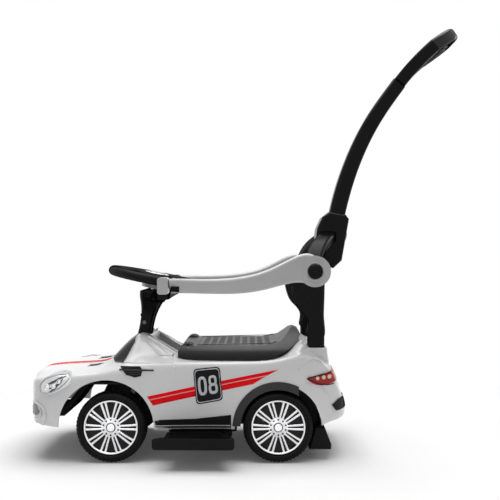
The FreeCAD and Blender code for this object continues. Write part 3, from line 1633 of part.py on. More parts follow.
# Footrests, anti-tip stop and body screws
def footrest():
    """The left step: a plate beside the sill and a tongue under the floor."""
    front = front_x + v.footrest_front_setback
    back = front + v.footrest_length
    low = v.footrest_top_height - v.footrest_thickness
    inner = -v.footrest_inner_reach
    outer = -v.footrest_reach
    height = (low, v.footrest_top_height)
    plate = brick((front, back), (outer, inner), height)
    ear = brick((front - v.footrest_ear_lead, back), (outer, outer + v.footrest_ear_width), height)
    plate = plate.fuse(ear).removeSplitter()
    upright = [edge for edge in plate.Edges if abs(edge.tangentAt(edge.FirstParameter).z) > 1 - v.shaft_gap]
    outside = [edge for edge in upright if edge.CenterOfMass.y < outer + v.shaft_gap]
    plate = plate.makeFillet(min(v.footrest_corner, v.footrest_ear_width - v.running_gap), outside)
    gap = v.running_gap
    top = v.floor_height - gap
    tongue = brick(
        (front + v.guide_width, back - v.guide_width),
        (inner - v.footrest_ear_width, -v.footrest_tongue_reach),
        (top - v.footrest_tongue_thickness, min(top, v.footrest_top_height)),
    )
    return plate.fuse(tongue).removeSplitter()


left_footrest = footrest()
feature("footrest_left", left_footrest)
feature("footrest_right", on_right(left_footrest))


def anti_tip_stop():
    """The black bumper behind the rear wheels, with a foot near the ground."""
    front = rear_x + v.stop_front_setback
    back = front + v.stop_length
    top = v.floor_height
    corners = [
        (front, top), (back, top), (rear_x + v.stop_foot_reach, v.stop_foot_height + v.stop_foot_thickness),
        (rear_x + v.stop_foot_reach, v.stop_foot_height),
        (rear_x + v.stop_foot_setback, v.stop_foot_height),
    ]
    points = [Vector(x, 0, z) for x, z in corners]
    return prism(points, ACROSS * -v.stop_half_width, ACROSS * v.stop_half_width)


feature("anti_tip_stop", anti_tip_stop())


def body_screw(spot):
    head = bar(v.screw_head_radius, spot - UP * v.screw_head_height, spot)
    return head.fuse(bar(v.screw_radius, spot, spot + UP * v.floor_thickness))


feature("body_screws", Part.makeCompound([body_screw(spot) for spot in screw_places()]))

doc.recompute()
for piece in doc.Objects:
    if "Invalid" in piece.State or "Error" in piece.State:
        raise RuntimeError(f"{piece.Name} failed: {piece.State}")
for piece in nodes:
    if piece.Shape.isNull() or not piece.Shape.isValid() or not piece.Shape.Solids:
        raise RuntimeError(f"{piece.Label} has no valid solid")

os.makedirs("parts", exist_ok=True)
for piece in nodes:
    piece.Shape.exportStep(f"parts/{piece.Label}.step")
print(len(nodes), "sub-parts written")
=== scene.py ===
# %% [markdown]
# # A toddler's push car
# The imported model gives every rigid piece of the car at its real size and place. This lesson dresses it:
# a camera that stands where the photographer stood, soft studio light, a finish for every moulding, and
# modelled pieces for what the solids leave plain, such as tyre treads, wheel trims, lamps and stripes.
# The frame comes first. The looks may not make the car any bigger.

# %% load the frame
import json
import math

import bmesh
import bpy
from mathutils import Matrix, Vector
from mathutils.bvhtree import BVHTree
from mathutils.geometry import delaunay_2d_cdt


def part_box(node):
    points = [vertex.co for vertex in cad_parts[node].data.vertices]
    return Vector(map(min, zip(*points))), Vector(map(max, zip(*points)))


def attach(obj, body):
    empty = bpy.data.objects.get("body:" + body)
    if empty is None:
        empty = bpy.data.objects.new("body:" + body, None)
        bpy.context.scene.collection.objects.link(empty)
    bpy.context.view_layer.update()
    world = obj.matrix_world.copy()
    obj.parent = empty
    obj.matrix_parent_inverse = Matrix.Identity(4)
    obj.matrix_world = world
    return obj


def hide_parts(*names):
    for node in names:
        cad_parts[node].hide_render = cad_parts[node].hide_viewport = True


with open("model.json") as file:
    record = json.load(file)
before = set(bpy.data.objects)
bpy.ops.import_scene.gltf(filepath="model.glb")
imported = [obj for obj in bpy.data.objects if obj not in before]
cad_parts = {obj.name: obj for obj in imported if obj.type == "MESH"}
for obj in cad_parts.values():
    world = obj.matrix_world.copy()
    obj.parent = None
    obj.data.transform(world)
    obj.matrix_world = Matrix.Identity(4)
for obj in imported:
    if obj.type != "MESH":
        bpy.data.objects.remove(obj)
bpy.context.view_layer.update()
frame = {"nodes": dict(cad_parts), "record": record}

nodes = frame["nodes"]

# %% [markdown]
# The photograph is a level side view. Its vanishing lines put the eye a little above the guard rails,
# about a metre and a half from the car's middle, with a normal lens. A level camera keeps upright things
# upright, and a very small shift sets the horizon at its height in the picture.

# %% camera
camera_data = bpy.data.cameras.new("side_camera")
camera_data.sensor_width = 36
camera_data.lens = 50
camera_data.shift_y = 0.012
camera = bpy.data.objects.new("side_camera", camera_data)
camera.location = (0.006, -1.538, 0.416)
camera.rotation_euler = (math.radians(90), 0, 0)
bpy.context.scene.collection.objects.link(camera)
bpy.context.scene.camera = camera
print("camera", tuple(round(c, 3) for c in camera.location), "lens", camera_data.lens)

# %% [markdown]
# The car stands on a white studio floor that fades into a white wall. A broad lamp overhead draws the soft
# shadow under the floor pan, a second one from the camera's side opens the dark plastics, a third lights
# the tail, and the world fills in the rest. Camera and glossy rays see the world as plain white, so the
# background stays white without more light on the car.

# %% floor, world and lamps
WHITE = (1, 1, 1, 1)
FLOOR_HALF = 8.0
FLOOR_WHITE = (0.91, 0.91, 0.91, 1)
FLOOR_GLOW = 0.05
FLOOR_FADE = (0.45, 1.15)  # where the floor starts to fade and where it is gone, from the car's middle
WORLD_FILL = 0.22


def linked(data, name):
    """A new object in the scene."""
    thing = bpy.data.objects.new(name, data)
    bpy.context.scene.collection.objects.link(thing)
    return thing


def preset(node, values):
    """Sets some inputs of a node to constants."""
    for socket, value in values.items():
        node.inputs[socket].default_value = value


def studio_floor():
    """A white plane that turns clear away from the car, so that it shows no edge."""
    mesh = bpy.data.meshes.new("studio_floor")
    corners = [(x * FLOOR_HALF, y * FLOOR_HALF, 0) for x, y in ((-1, -1), (1, -1), (1, 1), (-1, 1))]
    mesh.from_pydata(corners, [], [(0, 1, 2, 3)])
    floor = linked(mesh, "studio_floor")
    material = bpy.data.materials.new("studio_floor")
    material.use_nodes = True
    tree = material.node_tree
    shader = tree.nodes["Principled BSDF"]
    preset(shader, {
        "Base Color": FLOOR_WHITE, "Roughness": 0.9, "Specular IOR Level": 0.0,
        "Emission Color": WHITE, "Emission Strength": FLOOR_GLOW,
    })
    place = tree.nodes.new("ShaderNodeTexCoord")
    reach = tree.nodes.new("ShaderNodeVectorMath")
    reach.operation = "LENGTH"
    tree.links.new(place.outputs["Object"], reach.inputs[0])
    fade = tree.nodes.new("ShaderNodeMapRange")
    fade.interpolation_type = "SMOOTHERSTEP"
    preset(fade, {"From Min": FLOOR_FADE[0], "From Max": FLOOR_FADE[1], "To Min": 1.0, "To Max": 0.0})
    tree.links.new(reach.outputs["Value"], fade.inputs["Value"])
    tree.links.new(fade.outputs["Result"], shader.inputs["Alpha"])
    mesh.materials.append(material)


def white_world():
    """White to the camera and in reflections, a soft fill for everything else."""
    world = bpy.data.worlds.new("white_studio")
    bpy.context.scene.world = world
    world.use_nodes = True
    tree = world.node_tree
    seen = tree.nodes["Background"]
    preset(seen, {"Color": WHITE, "Strength": 1.0})
    fill = tree.nodes.new("ShaderNodeBackground")
    preset(fill, {"Color": WHITE, "Strength": WORLD_FILL})
    rays = tree.nodes.new("ShaderNodeLightPath")
    white_rays = rays.outputs["Is Camera Ray"]
    for other in ("Is Glossy Ray", "Is Transmission Ray"):
        either = tree.nodes.new("ShaderNodeMath")
        either.operation = "MAXIMUM"
        tree.links.new(white_rays, either.inputs[0])
        tree.links.new(rays.outputs[other], either.inputs[1])
        white_rays = either.outputs[0]
    choice = tree.nodes.new("ShaderNodeMixShader")
    for socket, source in enumerate((white_rays, fill.outputs[0], seen.outputs[0])):
        tree.links.new(source, choice.inputs[socket])
    tree.links.new(choice.outputs[0], tree.nodes["World Output"].inputs["Surface"])


def soft_lamp(name, place, aim, size, power):
    """A rectangular area lamp that looks from its place to its aim."""
    data = bpy.data.lights.new(name, "AREA")
    data.shape = "RECTANGLE"
    data.size, data.size_y = size
    data.energy = power
    lamp = linked(data, name)
    lamp.location = place
    lamp.rotation_euler = (Vector(aim) - Vector(place)).to_track_quat("-Z", "Y").to_euler()


studio_floor()
white_world()
soft_lamp("overhead_softbox", place=(0.0, 0.1, 2.6), aim=(0.0, 0.0, 0.0), size=(2.6, 2.2), power=74)
soft_lamp("camera_softbox", place=(-1.2, -2.6, 1.5), aim=(0.0, 0.0, 0.25), size=(1.8, 1.4), power=3)
soft_lamp("rear_softbox", place=(2.4, 1.6, 1.6), aim=(0.1, 0.0, 0.3), size=(1.2, 1.2), power=12)
bpy.context.scene.view_settings.view_transform = "Standard"
print("stage, world and", len(bpy.data.lights), "lamps")

# %% [markdown]
# Nearly every piece is injection- or blow-moulded plastic. Such a surface has three things to show: a tint
# that wanders a little, a gloss that isn't even, and the fine grain that the mould was etched with. One
# helper mixes them from noise in the piece's own coordinates, so that the grain moves with the piece, and
# sets everything that is constant on the shader itself.

# %% moulded plastic
CLOUD_SCALE, SMEAR_SCALE = 18.0, 55.0  # clouds in the tint are larger than smears in the gloss
ETCH_STRENGTH = 0.6
EDGE_SLANT = (0.35, 0.80)  # how far a face is turned away where a flat gloss starts to die and is gone


def noise_of(tree, scale, detail):
    """Noise in the piece's own coordinates."""
    place = tree.nodes.new("ShaderNodeTexCoord")
    noise = tree.nodes.new("ShaderNodeTexNoise")
    preset(noise, {"Scale": scale, "Detail": detail})
    tree.links.new(place.outputs["Object"], noise.inputs["Vector"])
    return noise.outputs["Fac"]


def shade(colour, factor):
    return tuple(min(1.0, max(0.0, c * factor)) for c in colour) + (1.0,)


def moulding(name, colour, roughness, grain=700.0, depth=0.0001, wander=0.05, gloss_spread=0.06,
             flat_gloss=0.0, **constants):
    """A moulded finish: a wandering tint, an uneven gloss and an etched grain. A black piece has flat_gloss,
    a gloss for faces seen straight on that dies away at its edges."""
    material = bpy.data.materials.new(name)
    material.use_nodes = True
    tree = material.node_tree
    shader = tree.nodes["Principled BSDF"]
    for word, value in constants.items():
        preset(shader, {word.replace("_", " ").title().replace("Ior", "IOR"): value})
    tones = tree.nodes.new("ShaderNodeValToRGB")
    for stop, place, factor in zip(tones.color_ramp.elements, (0.3, 0.7), (1 - wander, 1 + wander)):
        stop.position = place
        stop.color = shade(colour, factor)
    tree.links.new(noise_of(tree, CLOUD_SCALE, 4.0), tones.inputs["Fac"])
    tree.links.new(tones.outputs["Color"], shader.inputs["Base Color"])
    gloss = tree.nodes.new("ShaderNodeMapRange")
    preset(gloss, {"To Min": max(0.02, roughness - gloss_spread), "To Max": roughness + gloss_spread})
    tree.links.new(noise_of(tree, SMEAR_SCALE, 6.0), gloss.inputs["Value"])
    tree.links.new(gloss.outputs["Result"], shader.inputs["Roughness"])
    bump = tree.nodes.new("ShaderNodeBump")
    preset(bump, {"Strength": ETCH_STRENGTH, "Distance": depth})
    tree.links.new(noise_of(tree, grain, 3.0), bump.inputs["Height"])
    tree.links.new(bump.outputs["Normal"], shader.inputs["Normal"])
    if flat_gloss:
        slant = tree.nodes.new("ShaderNodeLayerWeight")
        edge = tree.nodes.new("ShaderNodeMapRange")
        preset(edge, {"From Min": EDGE_SLANT[0], "From Max": EDGE_SLANT[1], "To Min": flat_gloss, "To Max": 0.0})
        tree.links.new(slant.outputs["Facing"], edge.inputs["Value"])
        tree.links.new(edge.outputs["Result"], shader.inputs["Specular IOR Level"])
    return material


white_gloss = moulding("white_gloss_body", (0.80, 0.80, 0.80), 0.24, grain=140, depth=0.00008, wander=0.012,
                       coat_weight=0.25, coat_roughness=0.08)
black_satin = moulding("black_grained", (0.006, 0.006, 0.0065), 0.42, grain=1200, depth=0.00012, wander=0.15,
                       flat_gloss=0.10)
black_shine = moulding("black_smooth", (0.004, 0.004, 0.0045), 0.26, grain=300, depth=0.00004, wander=0.15,
                       flat_gloss=0.10)
black_edge = moulding("black_bright_edge", (0.004, 0.004, 0.0045), 0.24, grain=300, depth=0.00004, wander=0.15,
                      specular_ior_level=0.10)
rail_silver = moulding("rail_light_grey", (0.57, 0.57, 0.575), 0.30, grain=800, depth=0.00004, wander=0.02,
                       coat_weight=0.3, coat_roughness=0.15)
mid_grey = moulding("mid_grey", (0.20, 0.20, 0.205), 0.42, grain=900, depth=0.00008)
tray_grey = moulding("tray_grey", (0.52, 0.52, 0.525), 0.40, grain=900, depth=0.00010)
trim_grey = moulding("arch_trim_grey", (0.030, 0.030, 0.031), 0.48, grain=1100, depth=0.00012, wander=0.15,
                     flat_gloss=0.3)
grip_dark = moulding("grip_smooth_dark", (0.010, 0.010, 0.011), 0.16, grain=500, depth=0.00004, wander=0.1,
                     flat_gloss=0.30)
dark_insert = moulding("dark_insert", (0.014, 0.014, 0.015), 0.36, grain=600, depth=0.00010, flat_gloss=0.08)
tyre_black = moulding("tyre_black", (0.0055, 0.0055, 0.006), 0.52, grain=1500, depth=0.00015, wander=0.2,
                      flat_gloss=0.12)
wheel_back = moulding("wheel_back_dark", (0.010, 0.010, 0.0105), 0.45, grain=900, depth=0.00010,
                      specular_ior_level=0.2)
bright_plate = moulding("bright_plating", (0.80, 0.80, 0.81), 0.14, grain=90, depth=0.00003, wander=0.02,
                        gloss_spread=0.05, metallic=1.0)
bright_cap = moulding("bright_cap", (0.93, 0.93, 0.94), 0.18, grain=300, depth=0.00003, wander=0.01, metallic=1.0)
lamp_silver = moulding("lamp_silver", (0.62, 0.63, 0.64), 0.22, grain=260, depth=0.00020, wander=0.10, metallic=1.0)
drawn_steel = moulding("drawn_steel", (0.55, 0.55, 0.56), 0.30, grain=400, depth=0.00006, wander=0.05, metallic=1.0)
red_lens = moulding("red_lens", (0.40, 0.018, 0.014), 0.20, grain=400, depth=0.00012, wander=0.12,
                    specular_ior_level=0.3)
red_film = moulding("red_film", (0.96, 0.001, 0.008), 0.34, grain=500, depth=0.00003, wander=0.03,
                    specular_ior_level=0.12)
print(len(bpy.data.materials), "finishes")

# %% [markdown]
# A smoked windscreen looks darker where it leans away from the sky, and so does the side of the seat where it turns
# under.
# Both are painted shade: the colour is darkened towards the foot by the height on the car itself, so it stays put from
# every side.

# %% smoked screen with painted shade
def painted_shade_below(material, low, high, share):
    """Paints shade into a finish towards the foot of a piece: a share of its colour at low, all of it at high."""
    tree = material.node_tree
    base = tree.nodes["Principled BSDF"].inputs["Base Color"]
    tint = base.links[0].from_socket
    place = tree.nodes.new("ShaderNodeTexCoord")
    axes = tree.nodes.new("ShaderNodeSeparateXYZ")
    level = tree.nodes.new("ShaderNodeMapRange")
    preset(level, {"From Min": low, "From Max": high, "To Min": share})
    fade = tree.nodes.new("ShaderNodeVectorMath")
    fade.operation = "SCALE"
    tree.links.new(place.outputs["Object"], axes.inputs[0])
    tree.links.new(axes.outputs["Z"], level.inputs["Value"])
    tree.links.new(tint, fade.inputs[0])
    tree.links.new(level.outputs["Result"], fade.inputs["Scale"])
    tree.links.new(fade.outputs["Vector"], base)


screen_low, screen_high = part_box("windscreen")
smoked_glass_painted_shade = moulding("smoked_screen_painted_shade", (0.055, 0.0565, 0.0585), 0.16, grain=60, depth=0.00003,
                      specular_ior_level=0.25)
# Painted shade: the screen's colour falls to a small share of itself at its foot.
painted_shade_below(smoked_glass_painted_shade, screen_low.z, screen_high.z, share=0.11)
print("screen from", round(screen_low.z, 3), "to", round(screen_high.z, 3), "m")

# %% [markdown]
# The solids whose shape is already right keep it and only get a finish. The others get a modelled piece in
# their place further down, and the grille and the intake lend their finish to it.

# %% finishes for the solids that stay
CORNERS = [f"{axle}_{side}" for axle in ("front", "rear") for side in ("left", "right")]
SOLID_FINISHES = [
    (white_gloss, ["body_shell"]),
    (black_satin, ["anti_tip_stop", "chassis_pan", "front_axle_carrier", "post_bolt", "sill_trims", "storage_box"]),
    (black_shine, ["front_post", "rail_pivot_pins", "rear_support_left", "rear_support_right"]),
    (black_edge, ["handle_housing", "handle_tube"]),
    (rail_silver, ["rail_left", "rail_right", "rail_clips", "steering_collar"]),
    (mid_grey, ["axle_bushes", "handle_button"]),
    (tray_grey, ["dash_tray"]),
    (trim_grey, ["arch_trims"]),
    (grip_dark, ["handle_grip"]),
    (dark_insert, ["fender_vents", "front_intake", "grille", "rear_vents"]),
    (wheel_back, [f"wheel_disc_{corner}" for corner in CORNERS]),
    (bright_plate, ["steering_trim"]),
    (lamp_silver, ["headlights"]),
    (red_lens, ["tail_lights"]),
    (drawn_steel, ["body_screws", "front_axle", "rear_axle", "seat_hinge_pin", "steering_rod"]),
    (smoked_glass_painted_shade, ["windscreen"]),
]


def give_finish(solid, material):
    solid.data.materials.clear()
    solid.data.materials.append(material)


for material, names in SOLID_FINISHES:
    for name in names:
        give_finish(nodes[name], material)
print(sum(len(names) for material, names in SOLID_FINISHES), "solids finished")

# %% [markdown]
# Many details lie on the body's curved skin: stripes, plates, vents, lamps and panel lines. Each is drawn
# as a flat outline and then dropped on the skin point by point with a ray, so it follows every curve. A
# thin shell with its own thickness would also do, but only rays keep the distance to the skin even.

# %% laying shapes on a skin
SIDE_START, TOP_START = 0.3, 0.6  # rays start well outside the flanks and above the body
RIB_LIFT, FILM_LIFT = 0.0001, 0.0004  # a rib starts almost on the skin, a film clears the skin's facets
MISS_REACH = 0.16  # a ray that misses takes the skin's nearest point to this far along it


def skin_of(*names):
    """A search tree over the faces of some solids."""
    points, faces = [], []
    for name in names:
        mesh = nodes[name].data
        start = len(points)
        points += [vertex.co.copy() for vertex in mesh.vertices]
        faces += [[start + i for i in face.vertices] for face in mesh.polygons]
    return BVHTree.FromPolygons(points, faces)


def dropped(skin, start, way, lift):
    """The first point of a skin along a ray, lifted a little off it."""
    start, way = Vector(start), Vector(way)
    hit, normal = skin.ray_cast(start, way)[:2]
    if hit is None:
        hit, normal = skin.find_nearest(start + way * MISS_REACH)[:2]
    if normal.dot(way) > 0:
        normal = -normal
    return hit + normal * lift


def on_side(skin, side, lift):
    """Takes (x, z) to the car's left (-1) or right (1) flank."""
    return lambda x, z: dropped(skin, (x, side * SIDE_START, z), (0, -side, 0), lift)


def on_top(skin, lift):
    """Takes (x, y) to the upper skin."""
    return lambda x, y: dropped(skin, (x, y, TOP_START), (0, 0, -1), lift)


body_skin = skin_of("body_shell")
LEFT, RIGHT = -1, 1
SIDES = {"left": LEFT, "right": RIGHT}
flank_half = abs(on_side(body_skin, LEFT, 0)(-0.1, 0.15).y)
print("skin ready; flank at the stripe stands", round(flank_half * 1000), "mm out")

# %% [markdown]
# A laid shape starts as an open sheet or as a closed body. Closed bodies know their outside. For a sheet the
# outside is the side that looks away from a line through the middle of the car. Sheets are remembered,
# because they get their thickness at the end.

# %% making a piece
CORE_SHARE, CORE_HEIGHT = 0.6, 0.12  # the line that sheets look away from: a share of their x, its height
sheets = []


def faced_outwards(mesh):
    """Turns a mesh's faces outwards and says whether it is an open sheet."""
    shape = bmesh.new()
    shape.from_mesh(mesh)
    is_open = any(len(edge.link_faces) == 1 for edge in shape.edges)
    if is_open:
        middle = sum((vertex.co for vertex in shape.verts), Vector()) / len(shape.verts)
        facing = sum((face.normal * face.calc_area() for face in shape.faces), Vector())
        if facing.dot(middle - Vector((middle.x * CORE_SHARE, 0, CORE_HEIGHT))) < 0:
            bmesh.ops.reverse_faces(shape, faces=shape.faces)
    else:
        bmesh.ops.recalc_face_normals(shape, faces=shape.faces)
    shape.to_mesh(mesh)
    shape.free()
    return is_open


def made(name, points, faces, material, body="car", slot=None, smooth=True):
    """A finished mesh piece that rides on a body."""
    mesh = bpy.data.meshes.new(name)
    mesh.from_pydata([tuple(point) for point in points], [], faces)
    mesh.update()
    is_open = faced_outwards(mesh)
    piece = linked(mesh, name)
    for face in mesh.polygons:
        face.use_smooth = smooth
    mesh.materials.append(material)
    if is_open:
        sheets.append(piece)
    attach(piece, body)
    return piece


def raised(piece, height):
    """Gives a laid piece a real thickness, outwards."""
    solid = piece.modifiers.new("thickness", "SOLIDIFY")
    solid.thickness = height
    solid.offset = 1.0
    solid.use_even_offset = True
    edge = piece.modifiers.new("soft_edge", "BEVEL")
    edge.width = height * 0.4
    edge.segments = 2
    edge.limit_method = "ANGLE"
    return piece


print("helpers for sheets and bodies ready")

# %% [markdown]
# There are three kinds of laid shape: a film fills an outline, a strip follows a path at an even width, and
# a band lies between two rings. A film has points inside its outline as well, or it couldn't bend.

# %% films, strips and bands
GRID_CLEARANCE = 0.45  # inner points stay this share of a step away from the edge


def even_steps(a, b, step):
    """Points from a towards b at even steps, without b."""
    count = max(1, math.ceil(math.dist(a, b) / step))
    return [(a[0] + (b[0] - a[0]) * i / count, a[1] + (b[1] - a[1]) * i / count) for i in range(count)]


def divided(outline, step):
    """Points at even steps round a closed outline, corners kept."""
    pairs = zip(outline, outline[1:] + outline[:1])
    return [point for a, b in pairs for point in even_steps(a, b, step)]


def inside(point, outline):
    """Whether a point is inside an outline: it counts the sides that a level line crosses."""
    x, y = point
    odd = False
    for (ax, ay), (bx, by) in zip(outline, outline[1:] + outline[:1]):
        if (ay > y) != (by > y) and x < (bx - ax) * (y - ay) / (by - ay) + ax:
            odd = not odd
    return odd


def filled(outline, step):
    """Triangles of a flat outline with points inside it, so that it can bend."""
    edge = divided(outline, step)
    low = [min(p[i] for p in edge) for i in (0, 1)]
    high = [max(p[i] for p in edge) for i in (0, 1)]
    grid = []
    for i in range(1, int((high[0] - low[0]) / step) + 1):
        for j in range(1, int((high[1] - low[1]) / step) + 1):
            point = (low[0] + i * step, low[1] + j * step)
            if inside(point, outline) and min(math.dist(point, e) for e in edge) > step * GRID_CLEARANCE:
                grid.append(point)
    rim = [(i, (i + 1) % len(edge)) for i in range(len(edge))]
    result = delaunay_2d_cdt([Vector(p) for p in edge + grid], rim, [], 1, 1e-7)
    return [tuple(p) for p in result[0]], [list(face) for face in result[2]]


def film(name, outline, lay, material, step=0.006, **where):
    """A printed film: a flat outline laid on a skin."""
    points, faces = filled(outline, step)
    return made(name, [lay(*point) for point in points], faces, material, **where)


def strip(name, path, width, lay, material, step=0.006, **where):
    """A strip of even width along a path, laid on a skin."""
    line = [point for a, b in zip(path, path[1:]) for point in even_steps(a, b, step)]
    line.append(path[-1])
    points, faces = [], []
    for i, here in enumerate(line):
        back, ahead = line[max(i - 1, 0)], line[min(i + 1, len(line) - 1)]
        run = Vector((ahead[0] - back[0], ahead[1] - back[1])).normalized()
        for reach in (-0.5, 0.0, 0.5):
            points.append(lay(here[0] - run.y * width * reach, here[1] + run.x * width * reach))
    for i in range(len(line) - 1):
        for j in (0, 1):
            a = 3 * i + j
            faces.append([a, a + 1, a + 4, a + 3])
    return made(name, points, faces, material, **where)


def rib(name, path, width, height, lay, material, **where):
    """A strip with a real thickness."""
    return raised(strip(name, path, width, lay, material, **where), height)


def ring_band(name, rings, lay, material, **where):
    """A flat band between two rings."""
    outer, inner = rings
    count = len(outer)
    points = [lay(*p) for p in outer] + [lay(*p) for p in inner]
    faces = [[i, (i + 1) % count, count + (i + 1) % count, count + i] for i in range(count)]
    return made(name, points, faces, material, **where)


print("helpers for films, strips and bands ready")

# %% [markdown]
# A red racing stripe climbs along each flank from the front wheel to the rear arch. It is a printed film:
# a red field with a fine pale line near its upper edge, cut to a long wedge. On the car's right it is the
# mirror image.

# %% flank stripes
STRIPE_OUTLINE = [(-0.2007, 0.1340), (0.0634, 0.1880), (0.0381, 0.1745), (0.0120, 0.1583), (-0.1887, 0.1159)]
STRIPE_LINE = [(-0.1950, 0.1272), (0.0400, 0.1757)]
STRIPE_LINE_WIDTH, STRIPE_LINE_LIFT = 0.0018, 0.0007
pale_film = moulding("pale_film", (0.86, 0.42, 0.45), 0.3, grain=500, depth=0.00003, wander=0.03,
                     specular_ior_level=0.2)
for word, side in SIDES.items():
    film(f"stripe_{word}", STRIPE_OUTLINE, on_side(body_skin, side, FILM_LIFT), red_film, slot="red_lens")
    above = on_side(body_skin, side, STRIPE_LINE_LIFT)
    strip(f"stripe_line_{word}", STRIPE_LINE, STRIPE_LINE_WIDTH, above, pale_film, slot="white_body")
print("two stripes,", round(math.dist(*STRIPE_LINE) * 1000), "mm long")

# %% [markdown]
# A dark plate with a plain race number sits in the middle of the stripe. The plate is a rounded film, its
# thin pale border is inset, and the two figures are drawn as round bands, so no font is needed. Seen from
# either side, the number reads the right way round.

# %% number plates
PLATE_CORNERS = [(-0.1086, 0.1880), (-0.0550, 0.1932), (-0.0482, 0.1260), (-0.1020, 0.1167)]
PLATE_BORDER = (0.0022, 0.0036)  # how far the border's two edges are drawn in
PLATE_LIFT, PRINT_LIFT = 0.0010, 0.0014  # the print lies on the plate


def rounded_outline(corners, inset, radius, count=5):
    """An outline with a few corners, drawn in by an inset, with the corners rounded."""
    total = len(corners)
    middle = Vector((sum(c[0] for c in corners) / total, sum(c[1] for c in corners) / total))
    drawn = []
    for corner in corners:
        away = Vector(corner) - middle
        drawn.append(middle + away * (1 - inset * 1.4 / away.length))
    outline = []
    for i, corner in enumerate(drawn):
        back = (drawn[i - 1] - corner).normalized() * radius
        ahead = (drawn[(i + 1) % total] - corner).normalized() * radius
        for j in range(count + 1):
            t = j / count
            outline.append(tuple(corner + back * (1 - t) ** 2 + ahead * t ** 2))
    return outline


def plate_place(across, up):
    """From shares of the plate's width and height to a place on the flank."""
    a, b, c, d = (Vector(corner) for corner in PLATE_CORNERS)
    return tuple((d + (c - d) * across) * (1 - up) + (a + (b - a) * across) * up)


def round_figure(middle, half_width, low, high, stroke, count=28):
    """Outer and inner rings of a round figure, in shares of the plate."""
    rings = []
    for thin in (0, stroke):
        ring = []
        for i in range(count):
            turn = 2 * math.pi * i / count
            c, s = math.cos(turn), math.sin(turn)
            square = (abs(c) ** 3 + abs(s) ** 3) ** (-1 / 3)
            x = middle + (half_width - thin) * c * square
            z = (low + high) / 2 + ((high - low) / 2 - thin * 0.85) * s * square
            ring.append((x, z))
        rings.append(ring)
    return rings


plate_black = moulding("plate_black", (0.006, 0.006, 0.0065), 0.45, grain=500, depth=0.00003, wander=0.1,
                       flat_gloss=0.12)
plate_pale = moulding("plate_pale", (0.62, 0.63, 0.65), 0.34, grain=500, depth=0.00003, wander=0.02)
FIGURES = {
    "zero": round_figure(0.290, 0.165, 0.23, 0.77, 0.095),
    "eight_low": round_figure(0.685, 0.170, 0.23, 0.545, 0.092),
    "eight_high": round_figure(0.685, 0.152, 0.470, 0.77, 0.086),
}
for word, side in SIDES.items():
    plate_outline = rounded_outline(PLATE_CORNERS, 0, 0.009)
    film(f"plate_{word}", plate_outline, on_side(body_skin, side, PLATE_LIFT), plate_black, slot="black_plastic")
    print_lay = on_side(body_skin, side, PRINT_LIFT)
    border = [rounded_outline(PLATE_CORNERS, inset, 0.008) for inset in PLATE_BORDER]
    ring_band(f"plate_border_{word}", border, print_lay, plate_pale, slot="grey_plastic")
    for figure, rings in FIGURES.items():
        drawn = []
        for ring in rings:
            shares = [(across if side == LEFT else 1 - across, up) for across, up in ring]
            drawn.append([plate_place(*share) for share in shares])
        ring_band(f"plate_{figure}_{word}", drawn, print_lay, plate_pale, slot="grey_plastic")
print("two plates with a plain number")

# %% [markdown]
# The wheels are blow-moulded plastic drums with a snapped-on bright trim. A tyre is turned from one profile
# round the axle, as on a lathe. Its tread has a groove along the middle and short notches on both
# shoulders, which the lathe makes by pulling some of the profile's points in at every block.

# %% tyres
def tube_faces(count, size):
    """Faces of a tube that closes on itself: count rings of size points."""
    faces = []
    for i in range(count):
        here, ahead = i * size, (i + 1) % count * size
        for j in range(size):
            k = (j + 1) % size
            faces.append([here + j, here + k, ahead + k, ahead + j])
    return faces


def turned(profile, count, dip=None):
    """A closed profile of (radius, y) spun round the Y axis; dip(step, point) gives a change of radius."""
    points = []
    for i in range(count):
        turn = 2 * math.pi * i / count
        for j, (radius, y) in enumerate(profile):
            r = radius - (dip(i, j) if dip else 0)
            points.append((r * math.cos(turn), y, r * math.sin(turn)))
    return points, tube_faces(count, len(profile))


def wheel_middle(corner):
    low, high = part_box(f"tyre_{corner}")
    return (low + high) / 2


tyre_low, tyre_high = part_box("tyre_front_left")
TYRE_RADIUS = (tyre_high.z - tyre_low.z) / 2
TYRE_HALF = (tyre_high.y - tyre_low.y) / 2
BLOCKS = 54
STEPS = 5
# each row: radius below the tread, distance in from the flank, depth of a shoulder notch
TYRE_ROWS = [
    (0.0145, 0.0030, 0), (0.0136, 0.0012, 0), (0.0118, 0.0003, 0), (0.0100, 0.0000, 0), (0.0094, 0.0008, 0),
    (0.0088, 0.0008, 0), (0.0082, 0.0000, 0), (0.0062, 0.0006, 0), (0.0042, 0.0020, 0.0006),
    (0.0022, 0.0038, 0.0011), (0.0008, 0.0062, 0.0013), (0.0001, 0.0090, 0.0013), (0.0, 0.0115, 0.0011),
    (0.0, 0.0130, 0), (0.0, 0.0180, 0), (0.0016, 0.0186, 0), (0.0016, 0.0200, 0),
]
half_profile = [(TYRE_RADIUS - drop, -TYRE_HALF + inset, notch) for drop, inset, notch in TYRE_ROWS]
tyre_profile = half_profile + [(r, -y, notch) for r, y, notch in reversed(half_profile)]


def shoulder_notch(step, place):
    """Alternate blocks on the two shoulders."""
    notch = tyre_profile[place][2]
    offset = 0 if place < len(tyre_profile) / 2 else STEPS // 2
    return notch if (step + offset) % STEPS in (0, 1) else 0


def four_wheels(kind, name, points, faces, material, slot, smooth=True):
    """One mesh on all four corners; the right-hand ones are turned half round to face outwards."""
    mesh = bpy.data.meshes.new(name)
    mesh.from_pydata(points, [], faces)
    mesh.update()
    faced_outwards(mesh)
    for face in mesh.polygons:
        face.use_smooth = smooth
    mesh.materials.append(material)
    pieces = []
    for corner in CORNERS:
        piece = linked(mesh, f"{name}_{corner}")
        piece.location = wheel_middle(corner)
        if corner.endswith("right"):
            piece.rotation_euler = (0, 0, math.pi)
        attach(piece, f"wheel_{corner}")
        if kind:
            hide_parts(f"{kind}_{corner}")
        pieces.append(piece)
    return pieces


